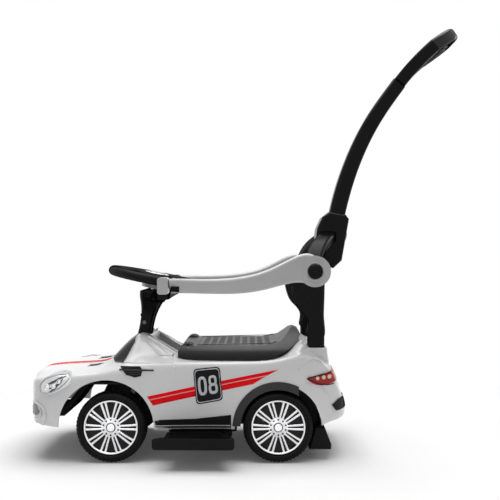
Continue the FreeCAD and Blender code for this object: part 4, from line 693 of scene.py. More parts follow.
def sharp_folds(piece, degrees):
    """Keeps smooth shading from running over the sharp edges of a piece."""
    fold = piece.modifiers.new("sharp_edges", "EDGE_SPLIT")
    fold.split_angle = math.radians(degrees)


tyre_mesh = turned([(r, y) for r, y, notch in tyre_profile], BLOCKS * STEPS, shoulder_notch)
for tyre in four_wheels("tyre", "tread_tyre", *tyre_mesh, tyre_black, "tyre"):
    sharp_folds(tyre, 38)
print("tyre of radius", round(TYRE_RADIUS, 4), "m with", BLOCKS, "blocks")

# %% [markdown]
# The trim is bright-plated: a rim ring, ten pairs of slim spokes and a hub ring with small dark bolts on it.
# Each spoke is a bar with a rounded back, made from a few cross-sections that get lower towards the rim.

# %% wheel trims
def joined(parts):
    """One list of points and faces from several."""
    points, faces = [], []
    for part_points, part_faces in parts:
        start = len(points)
        points += part_points
        faces += [[start + i for i in face] for face in part_faces]
    return points, faces


def skinned(rings):
    """Skins a row of closed rings with equal counts and closes both ends."""
    size = len(rings[0])
    points = [point for ring in rings for point in ring]
    faces = []
    for i in range(len(rings) - 1):
        for j in range(size):
            a, b = i * size + j, i * size + (j + 1) % size
            faces.append([a, b, b + size, a + size])
    last = (len(rings) - 1) * size
    return points, faces + [list(range(size))[::-1], list(range(last, last + size))]


def spoke_place(radius, side, y, turn):
    """A point of a spoke: out along it, to its side, and along the axle."""
    c, s = math.cos(turn), math.sin(turn)
    return (radius * c - side * s, y, radius * s + side * c)


# the trim's own Y runs inwards, so its outer face is at the lowest Y
trim_low, trim_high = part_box("hubcap_front_left")
middle_y = wheel_middle("front_left").y
BACK = trim_high.y - middle_y
FACE = trim_low.y - middle_y
TRIM_RADIUS = (trim_high.x - trim_low.x) / 2
PAIRS = 10
# each row: radius, distance from the pair's middle, half the width, height of the face
SPOKE_ROWS = [
    (0.0098, 0.0016, 0.0011, FACE - 0.0004), (0.0150, 0.0024, 0.0016, FACE - 0.0010),
    (0.0210, 0.0031, 0.0021, FACE - 0.0016), (0.0330, 0.0037, 0.0024, FACE - 0.0012),
    (0.0440, 0.0043, 0.0025, FACE - 0.0002), (0.0520, 0.0047, 0.0027, FACE + 0.0004),
]
RIM_PROFILE = [
    (TRIM_RADIUS + 0.0006, BACK), (TRIM_RADIUS + 0.0006, FACE + 0.0002), (TRIM_RADIUS - 0.0004, FACE - 0.0014),
    (TRIM_RADIUS - 0.0020, FACE - 0.0019), (TRIM_RADIUS - 0.0036, FACE - 0.0010),
    (TRIM_RADIUS - 0.0046, FACE + 0.0010), (TRIM_RADIUS - 0.0050, BACK),
]
HUB_PROFILE = [
    (0.0204, BACK), (0.0202, FACE + 0.0004), (0.0192, FACE - 0.0006), (0.0128, FACE - 0.0014),
    (0.0118, FACE - 0.0022), (0.0102, FACE - 0.0024), (0.0092, FACE - 0.0014), (0.0088, FACE + 0.0002),
    (0.0084, BACK),
]
BOLT_CIRCLE, BOLT_RADIUS, BOLT_SIDES = 0.0158, 0.0019, 6


def spoke(turn, lean):
    """One bar of a pair: lean is -1 or 1."""
    rings = []
    for radius, offset, half, face in SPOKE_ROWS:
        section = (
            (-1.25, BACK - 0.001), (-1.0, face + 0.0022), (-0.8, face + 0.0008), (-0.45, face), (0.45, face),
            (0.8, face + 0.0008), (1.0, face + 0.0022), (1.25, BACK - 0.001),
        )
        rings.append([spoke_place(radius, lean * offset + across * half, y, turn) for across, y in section])
    return skinned(rings)


def bolt(turn):
    """A small bolt head on the hub ring."""
    x, z = BOLT_CIRCLE * math.cos(turn), BOLT_CIRCLE * math.sin(turn)
    corners = [turn + 2 * math.pi / BOLT_SIDES * k for k in range(BOLT_SIDES)]
    rings = []
    for size, y in ((BOLT_RADIUS, BACK), (BOLT_RADIUS, FACE - 0.0012), (BOLT_RADIUS * 0.75, FACE - 0.0022)):
        rings.append([(x + size * math.cos(corner), y, z + size * math.sin(corner)) for corner in corners])
    return skinned(rings)


trim_parts, bolt_parts = [turned(RIM_PROFILE, 120), turned(HUB_PROFILE, 80)], []
for pair in range(PAIRS):
    turn = 2 * math.pi * pair / PAIRS
    trim_parts += [spoke(turn, -1), spoke(turn, 1)]
    bolt_parts.append(bolt(turn + math.pi / PAIRS))
for trim in four_wheels("hubcap", "wheel_trim", *joined(trim_parts), bright_plate, "chrome"):
    sharp_folds(trim, 50)
four_wheels(None, "hub_bolts", *joined(bolt_parts), wheel_back, "wheel_dark", smooth=False)
print("trims with", PAIRS, "pairs of spokes")

# %% [markdown]
# A blank domed cap closes the hub, and behind the spokes lies the dark drum. On the real wheel the drum
# bulges a little between the spokes. A ring does that: its outer face swells ten times on the way round,
# and its back is flat.

# %% centre caps and drum faces
cap_low, cap_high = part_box("centre_cap_front_left")
CAP_SHARE = 0.66
CAP_RADIUS = (cap_high.x - cap_low.x) / 2 * CAP_SHARE
CAP_TOP = cap_low.y - middle_y
CAP_PROFILE = [
    (CAP_RADIUS, FACE + 0.001), (CAP_RADIUS, CAP_TOP + 0.0018), (CAP_RADIUS - 0.0006, CAP_TOP + 0.0009),
    (CAP_RADIUS - 0.0020, CAP_TOP + 0.0003), (CAP_RADIUS - 0.0024, CAP_TOP + 0.0006),
    (CAP_RADIUS - 0.0060, CAP_TOP + 0.0001), (0.0002, CAP_TOP), (0.0002, FACE + 0.001),
]
four_wheels("centre_cap", "hub_cap_disc", *turned(CAP_PROFILE, 64), bright_cap, "white_cap")
DRUM_INNER, DRUM_OUTER = 0.0230, 0.0490
DRUM_SWELL = 0.0018


def drum_face(count=120, rows=5):
    """A closed ring with a swelling between every two pairs of spokes."""
    points = []
    for i in range(count):
        turn = 2 * math.pi * i / count
        swell = DRUM_SWELL * max(0.0, -math.cos(PAIRS * turn)) ** 0.7
        ring = [(DRUM_INNER, BACK), (DRUM_OUTER, BACK)]
        for j in range(rows + 1):
            share = 1 - j / rows
            face = BACK - 0.0006 - swell * math.sin(math.pi * share)
            ring.append((DRUM_INNER + (DRUM_OUTER - DRUM_INNER) * share, face))
        points += [(radius * math.cos(turn), y, radius * math.sin(turn)) for radius, y in ring]
    return points, tube_faces(count, rows + 3)


four_wheels(None, "drum_face", *drum_face(), wheel_back, "wheel_dark")
print("caps of radius", round(CAP_RADIUS, 4), "m, drum faces with", PAIRS, "swellings")

# %% [markdown]
# Two pairs of red lines run over the middle of the bonnet, from the nose to the windscreen, and a pair
# of dark outlets with a slatted floor sits in the bonnet. They are films laid from above, and the slats
# have a thickness.

# %% bonnet lines and outlets
BONNET_STATIONS = (-0.4500, -0.4440, -0.4200, -0.3600, -0.2980)
# each row: distance from the middle, width
BONNET_LINES = {"outer": (0.0100, 0.0040), "inner": (0.0045, 0.0020)}
OUTLET_OUTLINE = [
    (-0.339, -0.012), (-0.318, -0.013), (-0.305, 0.0), (-0.318, 0.013), (-0.339, 0.012), (-0.333, 0.0),
]
OUTLET_REACH = 0.056
BONNET_LIFT = 0.0005
SLATS, SLAT_PITCH, SLAT_WIDTH, SLAT_HEIGHT = 3, 0.0065, 0.0022, 0.0009
SLAT_ENDS = (-0.334, -0.313)
bonnet = on_top(body_skin, BONNET_LIFT)
for word, side in SIDES.items():
    for place, (reach, width) in BONNET_LINES.items():
        line = [(x, side * reach) for x in BONNET_STATIONS]
        strip(f"bonnet_line_{place}_{word}", line, width, bonnet, red_film, slot="red_lens")
    outlet = [(x, side * OUTLET_REACH + y) for x, y in OUTLET_OUTLINE]
    film(f"bonnet_outlet_{word}", outlet, on_top(body_skin, FILM_LIFT), dark_insert, step=0.004, slot="dark_trim")
    for i in range(SLATS):
        across = side * OUTLET_REACH + (i - SLATS // 2) * SLAT_PITCH
        slat_path = [(x, across) for x in SLAT_ENDS]
        rib(f"bonnet_slat_{word}_{i}", slat_path, SLAT_WIDTH, SLAT_HEIGHT, bonnet, mid_grey, slot="grey_plastic")
print("bonnet dressed")

# %% [markdown]
# Each headlight is a leaf-shaped clear cover over a bright bowl. The CAD solid is the bowl. On it lie a grey
# bezel round the rim, a row of small projector rings and dark feather-like fins, all cut from flat outlines
# and laid on the lamp's own face.

# %% headlights
lamp_skin = skin_of("headlights", "body_shell")
lamp_dark = moulding("lamp_shadow", (0.11, 0.11, 0.115), 0.30, grain=500, depth=0.00010)
bezel_grey = moulding("lamp_bezel", (0.55, 0.55, 0.56), 0.34, grain=500, depth=0.00006)
LAMP_LEAF = [
    (-0.4195, 0.1500), (-0.4170, 0.1585), (-0.4080, 0.1690), (-0.3930, 0.1765), (-0.3760, 0.1795),
    (-0.3580, 0.1790), (-0.3525, 0.1765), (-0.3560, 0.1700), (-0.3640, 0.1600), (-0.3760, 0.1490),
    (-0.3930, 0.1410), (-0.4080, 0.1390), (-0.4165, 0.1420),
]
LAMP_FINS = [
    [(-0.4050, 0.1560), (-0.3930, 0.1640), (-0.3730, 0.1735), (-0.3590, 0.1765), (-0.3720, 0.1700), (-0.3900, 0.1590)],
    [(-0.4030, 0.1490), (-0.3900, 0.1530), (-0.3760, 0.1640), (-0.3680, 0.1720), (-0.3720, 0.1610), (-0.3860, 0.1490)],
    [(-0.3980, 0.1430), (-0.3870, 0.1450), (-0.3790, 0.1540), (-0.3850, 0.1530), (-0.3930, 0.1470)],
]
LAMP_EYES = [(-0.4020, 0.1530, 0.0062), (-0.3880, 0.1545, 0.0052), (-0.3770, 0.1640, 0.0042)]
BEZEL_WIDTH, BEZEL_LIFT, BEZEL_HEIGHT = 0.0030, 0.0003, 0.0008
EYE_LIFT, EYE_RING_LIFT, EYE_RING_HEIGHT = 0.0007, 0.0005, 0.0009
EYE_GLASS, EYE_RING = 0.72, 0.74  # shares of a projector's radius: its glass, the inside of its ring


def leaf_ring(outline, inset):
    """An outline and the same one drawn in towards its middle."""
    middle = Vector((sum(p[0] for p in outline) / len(outline), sum(p[1] for p in outline) / len(outline)))
    outline = divided(outline, 0.004)
    return outline, [tuple(Vector(p) + (middle - Vector(p)).normalized() * inset) for p in outline]


def round_outline(x, z, radius, count=20):
    turns = [2 * math.pi * i / count for i in range(count)]
    return [(x + radius * math.cos(turn), z + radius * math.sin(turn)) for turn in turns]


def on_lamp(side, lift):
    return on_side(lamp_skin, side, lift)


for word, side in SIDES.items():
    bezel_rings = leaf_ring(LAMP_LEAF, BEZEL_WIDTH)
    rim_lay = on_lamp(side, BEZEL_LIFT)
    raised(ring_band(f"lamp_bezel_{word}", bezel_rings, rim_lay, bezel_grey, slot="grey_plastic"), BEZEL_HEIGHT)
    for i, fin in enumerate(LAMP_FINS):
        film(f"lamp_fin_{word}_{i}", fin, on_lamp(side, FILM_LIFT), lamp_dark, step=0.004, slot="dark_trim")
    for i, (x, z, radius) in enumerate(LAMP_EYES):
        glass = round_outline(x, z, radius * EYE_GLASS)
        film(f"lamp_eye_{word}_{i}", glass, on_lamp(side, EYE_LIFT), bright_plate, step=0.003, slot="chrome")
        rings = (round_outline(x, z, radius), round_outline(x, z, radius * EYE_RING))
        ring_lay = on_lamp(side, EYE_RING_LIFT)
        eye_ring = ring_band(f"lamp_eye_ring_{word}_{i}", rings, ring_lay, bright_plate, slot="chrome")
        raised(eye_ring, EYE_RING_HEIGHT)
print("two headlights with", len(LAMP_EYES), "projectors each")

# %% [markdown]
# The nose carries a dark grille with upright bars in a bright frame and no badge. Below it is the wide
# lower intake with its ribs. The plates of both lie a little deeper than the solids, so that frame, bars
# and ribs end where the solids do.

# %% grille and lower intake
NOSE_START = -0.7
GRILLE_SINK = Vector((0.0014, 0, 0))
GRILLE_FRAME = [
    (-0.069, 0.1150), (0.069, 0.1150), (0.066, 0.1480), (0.052, 0.1560), (-0.052, 0.1560), (-0.066, 0.1480),
]
GRILLE_FRAME_WIDTH, GRILLE_FRAME_HEIGHT, GRILLE_LIFT = 0.0034, 0.0012, 0.0002
GRILLE_BARS, BAR_PITCH, BAR_WIDTH, BAR_HEIGHT = 15, 0.0082, 0.0024, 0.0011
BAR_FOOT, BAR_TOP, BAR_TOP_SIDE, BAR_SIDE = 0.1185, 0.1525, 0.1490, 0.05  # bars beyond the side are shorter
INTAKE_RIBS, INTAKE_FOOT, INTAKE_PITCH, INTAKE_HALF = 3, 0.0905, 0.0055, 0.086
INTAKE_RIB_WIDTH, INTAKE_RIB_HEIGHT = 0.0016, 0.0010
nose_skin = skin_of("body_shell", "grille", "front_intake")


def on_grille(lift):
    """Takes (y, z) from the front to the sunk plate of the grille or the intake."""
    return lambda y, z: dropped(nose_skin, (NOSE_START, y, z), (1, 0, 0), lift) + GRILLE_SINK


for name in ("grille", "front_intake"):
    plate_mesh = nodes[name].data.copy()
    plate_mesh.transform(Matrix.Translation(GRILLE_SINK))
    plate = linked(plate_mesh, f"{name}_plate")
    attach(plate, "car")
    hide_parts(name)
grille_rings = leaf_ring(GRILLE_FRAME, GRILLE_FRAME_WIDTH)
grille_frame = ring_band("grille_frame", grille_rings, on_grille(GRILLE_LIFT), bright_plate, slot="chrome")
raised(grille_frame, GRILLE_FRAME_HEIGHT)
bar_lay = on_grille(RIB_LIFT)
for i in range(GRILLE_BARS):
    y = (i - GRILLE_BARS // 2) * BAR_PITCH
    bar_path = [(y, BAR_FOOT), (y, BAR_TOP if abs(y) < BAR_SIDE else BAR_TOP_SIDE)]
    rib(f"grille_bar_{i}", bar_path, BAR_WIDTH, BAR_HEIGHT, bar_lay, bright_plate, step=0.008, slot="chrome")
for i in range(INTAKE_RIBS):
    z = INTAKE_FOOT + i * INTAKE_PITCH
    rib_path = [(-INTAKE_HALF, z), (INTAKE_HALF, z)]
    rib(f"intake_rib_{i}", rib_path, INTAKE_RIB_WIDTH, INTAKE_RIB_HEIGHT, on_grille(GRILLE_LIFT), mid_grey,
        slot="grey_plastic")
print("grille with", GRILLE_BARS, "bars and intake")

# %% [markdown]
# At each corner of the bumper a raised frame runs round a grey scoop.

# %% bumper scoops
SCOOP_OUTLINE = [
    (-0.4430, 0.1170), (-0.4270, 0.1130), (-0.4190, 0.1040), (-0.4220, 0.0950), (-0.4330, 0.0900), (-0.4430, 0.0930),
]
SCOOP_HEIGHT = 0.0028
# each row: path, width
SCOOP_FRAMES = [
    ([(-0.4340, 0.1195), (-0.4200, 0.1165), (-0.4090, 0.1080), (-0.4060, 0.0940), (-0.4090, 0.0800), (-0.4160, 0.0710)],
     0.0050),
    ([(-0.4320, 0.0835), (-0.4220, 0.0860), (-0.4150, 0.0930), (-0.4160, 0.1040), (-0.4220, 0.1110)], 0.0030),
]
for word, side in SIDES.items():
    scoop = on_side(body_skin, side, FILM_LIFT)
    film(f"bumper_scoop_{word}", SCOOP_OUTLINE, scoop, mid_grey, step=0.004, slot="grey_plastic")
    flank = on_side(body_skin, side, RIB_LIFT)
    for i, (path, width) in enumerate(SCOOP_FRAMES):
        rib(f"bumper_frame_{word}_{i}", path, width, SCOOP_HEIGHT, flank, white_gloss, slot="white_body")
print("two bumper scoops")

# %% [markdown]
# A blade crosses each fender outlet like an arrow, and the sill trim has two bright lines. They are strips
# with a real thickness. A dark film carries the trim down and on to the wheel arch.

# %% fender blades and sill lines
BLADE_PATH = [(-0.2565, 0.1880), (-0.1870, 0.1862)]
BLADE_WIDTH, BLADE_HEIGHT = 0.0030, 0.0016
FENDER_RIBS = (0.1830, 0.1785)
FENDER_RIB_WIDTH, FENDER_RIB_HEIGHT = 0.0014, 0.0008
SILL_LINES = (0.0750, 0.0692)
SILL_LINE_WIDTH, SILL_LINE_HEIGHT, SILL_LIFT = 0.0020, 0.0008, 0.0006
SILL_BASE = [
    (-0.1900, 0.0850), (-0.1765, 0.0850), (-0.1765, 0.0792), (-0.0325, 0.0792), (-0.0325, 0.0668), (-0.1870, 0.0668),
]
flank_skin = skin_of("body_shell", "fender_vents", "sill_trims", "rear_vents", "tail_lights", "arch_trims")
for word, side in SIDES.items():
    flank = on_side(flank_skin, side, RIB_LIFT)
    rib(f"fender_blade_{word}", BLADE_PATH, BLADE_WIDTH, BLADE_HEIGHT, flank, trim_grey, slot="grey_plastic")
    for i, z in enumerate(FENDER_RIBS):
        rib_path = [(-0.2430 + 0.004 * i, z), (-0.2140, z)]
        rib(f"fender_rib_{word}_{i}", rib_path, FENDER_RIB_WIDTH, FENDER_RIB_HEIGHT, flank, trim_grey,
            slot="grey_plastic")
    sill = on_side(flank_skin, side, SILL_LIFT)
    for i, z in enumerate(SILL_LINES):
        line = [(-0.1860, z), (-0.0335, z)]
        rib(f"sill_line_{word}_{i}", line, SILL_LINE_WIDTH, SILL_LINE_HEIGHT, sill, rail_silver, slot="rail_grey")
    film(f"sill_base_{word}", SILL_BASE, on_side(body_skin, side, FILM_LIFT), dark_insert, slot="dark_trim")
print("fenders and sills dressed")

# %% [markdown]
# The tail lamp is a red wedge with a dark outline and three warm spots behind the lens. The vent under it
# is the plain solid.

# %% tail lamps and rear vents
warm_spot = moulding("warm_spot", (0.95, 0.72, 0.55), 0.2, grain=300, depth=0.00006, wander=0.08)
tail_low, tail_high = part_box("tail_lights")
vent_low, vent_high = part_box("rear_vents")
TAIL_SPOTS = [(0.1420, 0.1702, 0.0036), (0.1545, 0.1716, 0.0042), (0.1665, 0.1726, 0.0042)]
TAIL_EDGE_HEIGHT = 0.0008
# each row: path, width
TAIL_EDGES = {
    "low": ([(0.1225, 0.1695), (0.1420, 0.1592), (0.1640, 0.1560), (0.1760, 0.1575)], 0.0018),
    "high": ([(0.1225, 0.1705), (0.1450, 0.1758), (0.1640, 0.1798), (0.1745, 0.1815)], 0.0014),
}
for word, side in SIDES.items():
    lens = on_side(flank_skin, side, FILM_LIFT)
    for i, spot in enumerate(TAIL_SPOTS):
        film(f"tail_spot_{word}_{i}", round_outline(*spot, 14), lens, warm_spot, step=0.002, slot="red_lens")
    flank = on_side(flank_skin, side, RIB_LIFT)
    for place, (path, width) in TAIL_EDGES.items():
        rib(f"tail_edge_{place}_{word}", path, width, TAIL_EDGE_HEIGHT, flank, dark_insert, slot="dark_trim")
print("tail lamps from", round(tail_low.x, 3), "to", round(tail_high.x, 3))
print("rear vents from", round(vent_low.x, 3), "to", round(vent_high.x, 3))

# %% [markdown]
# The tail has a shut line for a boot lid, a blank place for a plate in a raised frame, and a ridge over the
# bumper.

# %% tail panel
TAIL_START = 0.6
BOOT_LINE = [(-0.0840, 0.1900), (-0.0560, 0.1850), (0.0560, 0.1850), (0.0840, 0.1900)]
BLANK_PLATE = [(-0.0460, 0.1380), (0.0460, 0.1380), (0.0460, 0.1640), (-0.0460, 0.1640)]
BLANK_PLATE_ROUND, BLANK_PLATE_HEIGHT = 0.005, 0.0014
BUMPER_RIDGE = [(-0.0980, 0.1240), (0.0, 0.1225), (0.0980, 0.1240)]
BOOT_LINE_WIDTH, RIDGE_WIDTH, RIDGE_HEIGHT = 0.0014, 0.0040, 0.0016
PANEL_LIFT, PANEL_FRAME_LIFT = 0.0003, 0.0002


def on_tail(lift):
    """Takes (y, z) to the rear end of the body."""
    return lambda y, z: dropped(body_skin, (TAIL_START, y, z), (-1, 0, 0), lift)


strip("boot_line", BOOT_LINE, BOOT_LINE_WIDTH, on_tail(PANEL_LIFT), dark_insert, slot="dark_trim")
blank_outline = rounded_outline(BLANK_PLATE, 0.001, BLANK_PLATE_ROUND)
film("blank_plate", blank_outline, on_tail(PANEL_LIFT), tray_grey, slot="tray_grey")
blank_rings = [rounded_outline(BLANK_PLATE, inset, BLANK_PLATE_ROUND) for inset in (-0.0012, 0.0016)]
blank_frame = ring_band("blank_plate_frame", blank_rings, on_tail(PANEL_FRAME_LIFT), white_gloss, slot="white_body")
raised(blank_frame, BLANK_PLATE_HEIGHT)
rib("bumper_ridge", BUMPER_RIDGE, RIDGE_WIDTH, RIDGE_HEIGHT, on_tail(RIB_LIFT), white_gloss, slot="white_body")
print("tail panel with a blank plate")

# %% [markdown]
# The flank of a real shell is pressed with sharp character lines: along the cowl, down the windscreen pillar,
# over the belt and across the rear haunch. The solid body is smooth there, so each line is added as a thin
# white rib that lies on the skin and catches the light like the pressed edge.

# %% character lines of the body
# each row: path, width, height
CREASES = {
    "cowl": ([(-0.2190, 0.2480), (-0.1810, 0.2136), (-0.1600, 0.2112), (-0.1450, 0.2095)], 0.0026, 0.0010),
    "pillar": ([(-0.2320, 0.2430), (-0.2420, 0.2220), (-0.2520, 0.2020)], 0.0036, 0.0010),
    "belt": ([(-0.2700, 0.2000), (-0.2100, 0.2006), (-0.1480, 0.2012)], 0.0024, 0.0010),
    "haunch_ridge": (
        [(0.1020, 0.1860), (0.1130, 0.1980), (0.1240, 0.2075), (0.1350, 0.2085), (0.1560, 0.2010)], 0.0030, 0.0014),
    "haunch_fold": (
        [(0.1046, 0.1540), (0.1200, 0.1570), (0.1370, 0.1586), (0.1544, 0.1466), (0.1740, 0.1180)], 0.0026, 0.0010),
}
for word, side in SIDES.items():
    for name, (path, width, height) in CREASES.items():
        flank = on_side(body_skin, side, RIB_LIFT)
        rib(f"{name}_line_{word}", path, width, height, flank, white_gloss, slot="white_body")
print(len(CREASES), "lines on each flank")

# %% [markdown]
# Each leg of the handle stands in a moulded socket that rises from the rear deck. It is a sleeve with a flat
# top, made as a rounded tube that follows the leg's outline from the deck upwards.

# %% leg sockets
LEG_MIDDLE = Vector((0.142, 0.100))
LEG_HALF = 0.0172
SOCKET_FOOT, SOCKET_TOP = 0.1990, 0.2285
# each row: how far the ring stands out from the leg, its height; the last one closes the sleeve
SOCKET_ROWS = [
    (0.0085, SOCKET_FOOT), (0.0058, 0.2160), (0.0048, 0.2272), (0.0038, SOCKET_TOP), (0.0006, SOCKET_TOP),
    (0.0006, SOCKET_FOOT), (0.0085, SOCKET_FOOT),
]


def socket_ring(side, grow, z):
    ring = rounded_outline([(-1, 1), (1, 1), (1, -1), (-1, -1)], 0, 0.5, 6)
    half = LEG_HALF + grow
    return [(LEG_MIDDLE.x + x * half, side * LEG_MIDDLE.y + y * half, z) for x, y in ring]


for word, side in SIDES.items():
    points, faces = skinned([socket_ring(side, grow, z) for grow, z in SOCKET_ROWS])
    made(f"leg_socket_{word}", points, faces[:-2], white_gloss, slot="white_body")
print("sockets up to", SOCKET_TOP, "m")

# %% [markdown]
# The tray in the dash is a grey dish with a white lip. One band round the dish makes the lip, four thin ribs
# lie on its floor, and a fold runs along each side of the dash.

# %% tray lip
dash_skin = skin_of("body_shell", "dash_tray")
dash_top = on_top(dash_skin, RIB_LIFT)
TRAY_EDGE = [(-0.2035, -0.0480), (-0.1460, -0.0480), (-0.1460, 0.0480), (-0.2035, 0.0480)]
TRAY_MIDDLE = -0.175
LIP_WIDTH, LIP_HEIGHT = 0.0034, 0.0022
FOLD_WIDTH, FOLD_HEIGHT = 0.0024, 0.0010
TRAY_RIBS, TRAY_RIB_PITCH, TRAY_RIB_WIDTH, TRAY_RIB_HEIGHT = 4, 0.020, 0.0020, 0.0008
TRAY_RIB_ENDS = (-0.1960, -0.1540)
DASH_FOLD = [(-0.2100, 0.0780), (-0.1800, 0.0800), (-0.1480, 0.0800)]
outer = divided(rounded_outline(TRAY_EDGE, -LIP_WIDTH, 0.006), 0.005)
inner = [(x + (LIP_WIDTH if x < TRAY_MIDDLE else -LIP_WIDTH) * (abs(y) < 0.05), y * 0.93) for x, y in outer]
raised(ring_band("tray_lip", (outer, inner), dash_top, white_gloss, slot="white_body"), LIP_HEIGHT)
for word, side in SIDES.items():
    fold_path = [(x, side * y) for x, y in DASH_FOLD]
    rib(f"dash_fold_{word}", fold_path, FOLD_WIDTH, FOLD_HEIGHT, dash_top, white_gloss, slot="white_body")
for i in range(TRAY_RIBS):
    y = (i - (TRAY_RIBS - 1) / 2) * TRAY_RIB_PITCH
    rib_path = [(x, y) for x in TRAY_RIB_ENDS]
    rib(f"tray_rib_{i}", rib_path, TRAY_RIB_WIDTH, TRAY_RIB_HEIGHT, dash_top, tray_grey, slot="tray_grey")
print("tray lip", round((max(p[0] for p in outer) - min(p[0] for p in outer)) * 1000), "mm long")

# %% [markdown]
# The seat lid is one satin moulding. Its top carries a shallow frame and rows of short raised dashes that
# keep a child from sliding. Each dash is a film with a real thickness; all of them go into one mesh.

# %% seat pad
seat_satin_painted_shade = moulding("seat_satin_painted_shade", (0.046, 0.046, 0.047), 0.42, grain=1400, depth=0.00016, wander=0.15,
                      specular_ior_level=0.25)
# Painted shade: the seat's colour darkens towards the foot of its side, where it turns under.
painted_shade_below(seat_satin_painted_shade, low=0.206, high=0.234, share=0.05)
give_finish(nodes["seat_lid"], seat_satin_painted_shade)
DASH_COLUMNS, DASH_START, DASH_PITCH = 9, -0.088, 0.0165
DASH_ROWS = (-0.064, -0.043, -0.0215, 0.0, 0.0215, 0.043, 0.064)
DASH_HALF_LENGTH, DASH_HALF_WIDTH, DASH_HEIGHT = 0.0056, 0.0020, 0.0006
PAD_FRAME = [(-0.106, -0.080), (0.062, -0.080), (0.062, 0.080), (-0.106, 0.080)]
PAD_LIFT, PAD_FRAME_WIDTH, PAD_FRAME_HEIGHT, PAD_FRAME_ROUND = 0.0002, 0.0026, 0.0010, 0.014


def many_films(name, outlines, lay, material, height, step=0.005, **where):
    """Several small outlines as one raised piece."""
    parts = []
    for outline in outlines:
        points, faces = filled(outline, step)
        parts.append(([lay(*point) for point in points], faces))
    return raised(made(name, *joined(parts), material, **where), height)


def dash(x, y):
    """A short bar with slanted ends."""
    long, wide = DASH_HALF_LENGTH, DASH_HALF_WIDTH
    slant = wide * 0.8
    return [
        (x - long, y - wide), (x + long - slant, y - wide), (x + long, y),
        (x + long - slant, y + wide), (x - long, y + wide), (x - long + slant, y),
    ]


pad_top = on_top(skin_of("seat_lid"), PAD_LIFT)
dashes = [dash(DASH_START + DASH_PITCH * i, y) for i in range(DASH_COLUMNS) for y in DASH_ROWS]
many_films("seat_dashes", dashes, pad_top, seat_satin_painted_shade, DASH_HEIGHT, body="seat", slot="black_plastic")
frame_rings = [rounded_outline(PAD_FRAME, inset, PAD_FRAME_ROUND) for inset in (0.0, PAD_FRAME_WIDTH)]
seat_frame = ring_band("seat_frame", frame_rings, pad_top, seat_satin_painted_shade, body="seat", slot="black_plastic")
raised(seat_frame, PAD_FRAME_HEIGHT)
print(len(dashes), "dashes on the seat")

# %% [markdown]
# At the front of the seat, knuckles hold the hinge pin. They are bell-shaped when seen from the side, with a hole for
# the pin whose shade is painted as a dark disc. Their outline is skinned across the seat in a few steps, the outer ones
# drawn in, so that the edge is round.

# %% seat knuckles
KNUCKLE_OUTLINE = [
    (-0.0150, -0.0030), (-0.0118, 0.0002), (-0.0098, 0.0022), (-0.0072, 0.0040), (-0.0038, 0.0051), (0.0, 0.0055),
    (0.0038, 0.0051), (0.0072, 0.0040), (0.0098, 0.0022), (0.0118, 0.0002), (0.0150, -0.0030),
]
# each row: share of the knuckle's width, share of the outline's size
KNUCKLE_ROWS = [(0.0, 0.86), (0.08, 0.95), (0.22, 1.0), (0.78, 1.0), (0.92, 0.95), (1.0, 0.86)]
KNUCKLE_SPANS = [(0.0792, 0.0888), (0.0596, 0.0688)]
PIN_FACE, PIN_DEPTH, PIN_RISE = 0.08895, 0.004, 0.0012


def joint_place(name):
    """Where a joint turns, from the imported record."""
    return next(Vector(joint["pos_m"]) for joint in frame["record"]["behaviour"]["joints"] if joint["name"] == name)


hinge = joint_place("seat_lift")
hinge.z = pad_top(-0.03, 0.0).z


def knuckle(start, end):
    rings = []
    for share, size in KNUCKLE_ROWS:
        y = start + (end - start) * share
        rings.append([(hinge.x + x * size, y, hinge.z + z * (size if z > 0 else 1)) for x, z in KNUCKLE_OUTLINE])
    return skinned(rings)


def pin_hole_shade(side, count=18):
    """A dark disc on the outer face of a knuckle: painted shade where the pin's hole is."""
    turns = [2 * math.pi * i / count for i in range(count)]
    ring = [
        (hinge.x + 0.0030 * math.cos(turn), side * PIN_FACE, hinge.z + PIN_RISE + 0.0028 * math.sin(turn))
        for turn in turns
    ]
    return skinned([ring, [(x, y - side * PIN_DEPTH, z) for x, y, z in ring]])


knuckle_parts = [knuckle(*sorted((side * a, side * b))) for side in SIDES.values() for a, b in KNUCKLE_SPANS]
made("seat_knuckles", *joined(knuckle_parts), seat_satin_painted_shade, body="seat", slot="black_plastic")
# Painted shade: a dark disc in each knuckle's face stands for the shade in the pin hole.
pin_shade_parts = [pin_hole_shade(side) for side in SIDES.values()]
made("seat_pin_hole_shades", *joined(pin_shade_parts), dark_insert, body="seat", slot="dark_trim")
print("knuckles at", [round(c, 4) for c in hinge])

# %% [markdown]
# The steering wheel is a hand-sized ring with an oval grip and finger ridges underneath, three broad spokes
# and a hub with a well for the horn button. It is built about its own axis and then set on the steering
# column with one matrix.

# %% steering wheel
STEERING_TILT = math.radians(11)
wheel_low, wheel_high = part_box("steering_wheel")
steering_centre = (wheel_low + wheel_high) / 2
lean_cos, lean_sin = math.cos(STEERING_TILT), math.sin(STEERING_TILT)
column_set = Matrix((
    (lean_cos, lean_sin, 0, steering_centre.x),
    (0, 0, -1, 0),
    (-lean_sin, lean_cos, 0, steering_centre.z),
    (0, 0, 0, 1),
))
RIM_RADIUS = 0.095
RIM_TUBE = (wheel_high.y - wheel_low.y) / 2 - RIM_RADIUS
FINGER_RIDGES, RIDGE_DEPTH = 36, 0.06
STEERING_SPOKES = 3
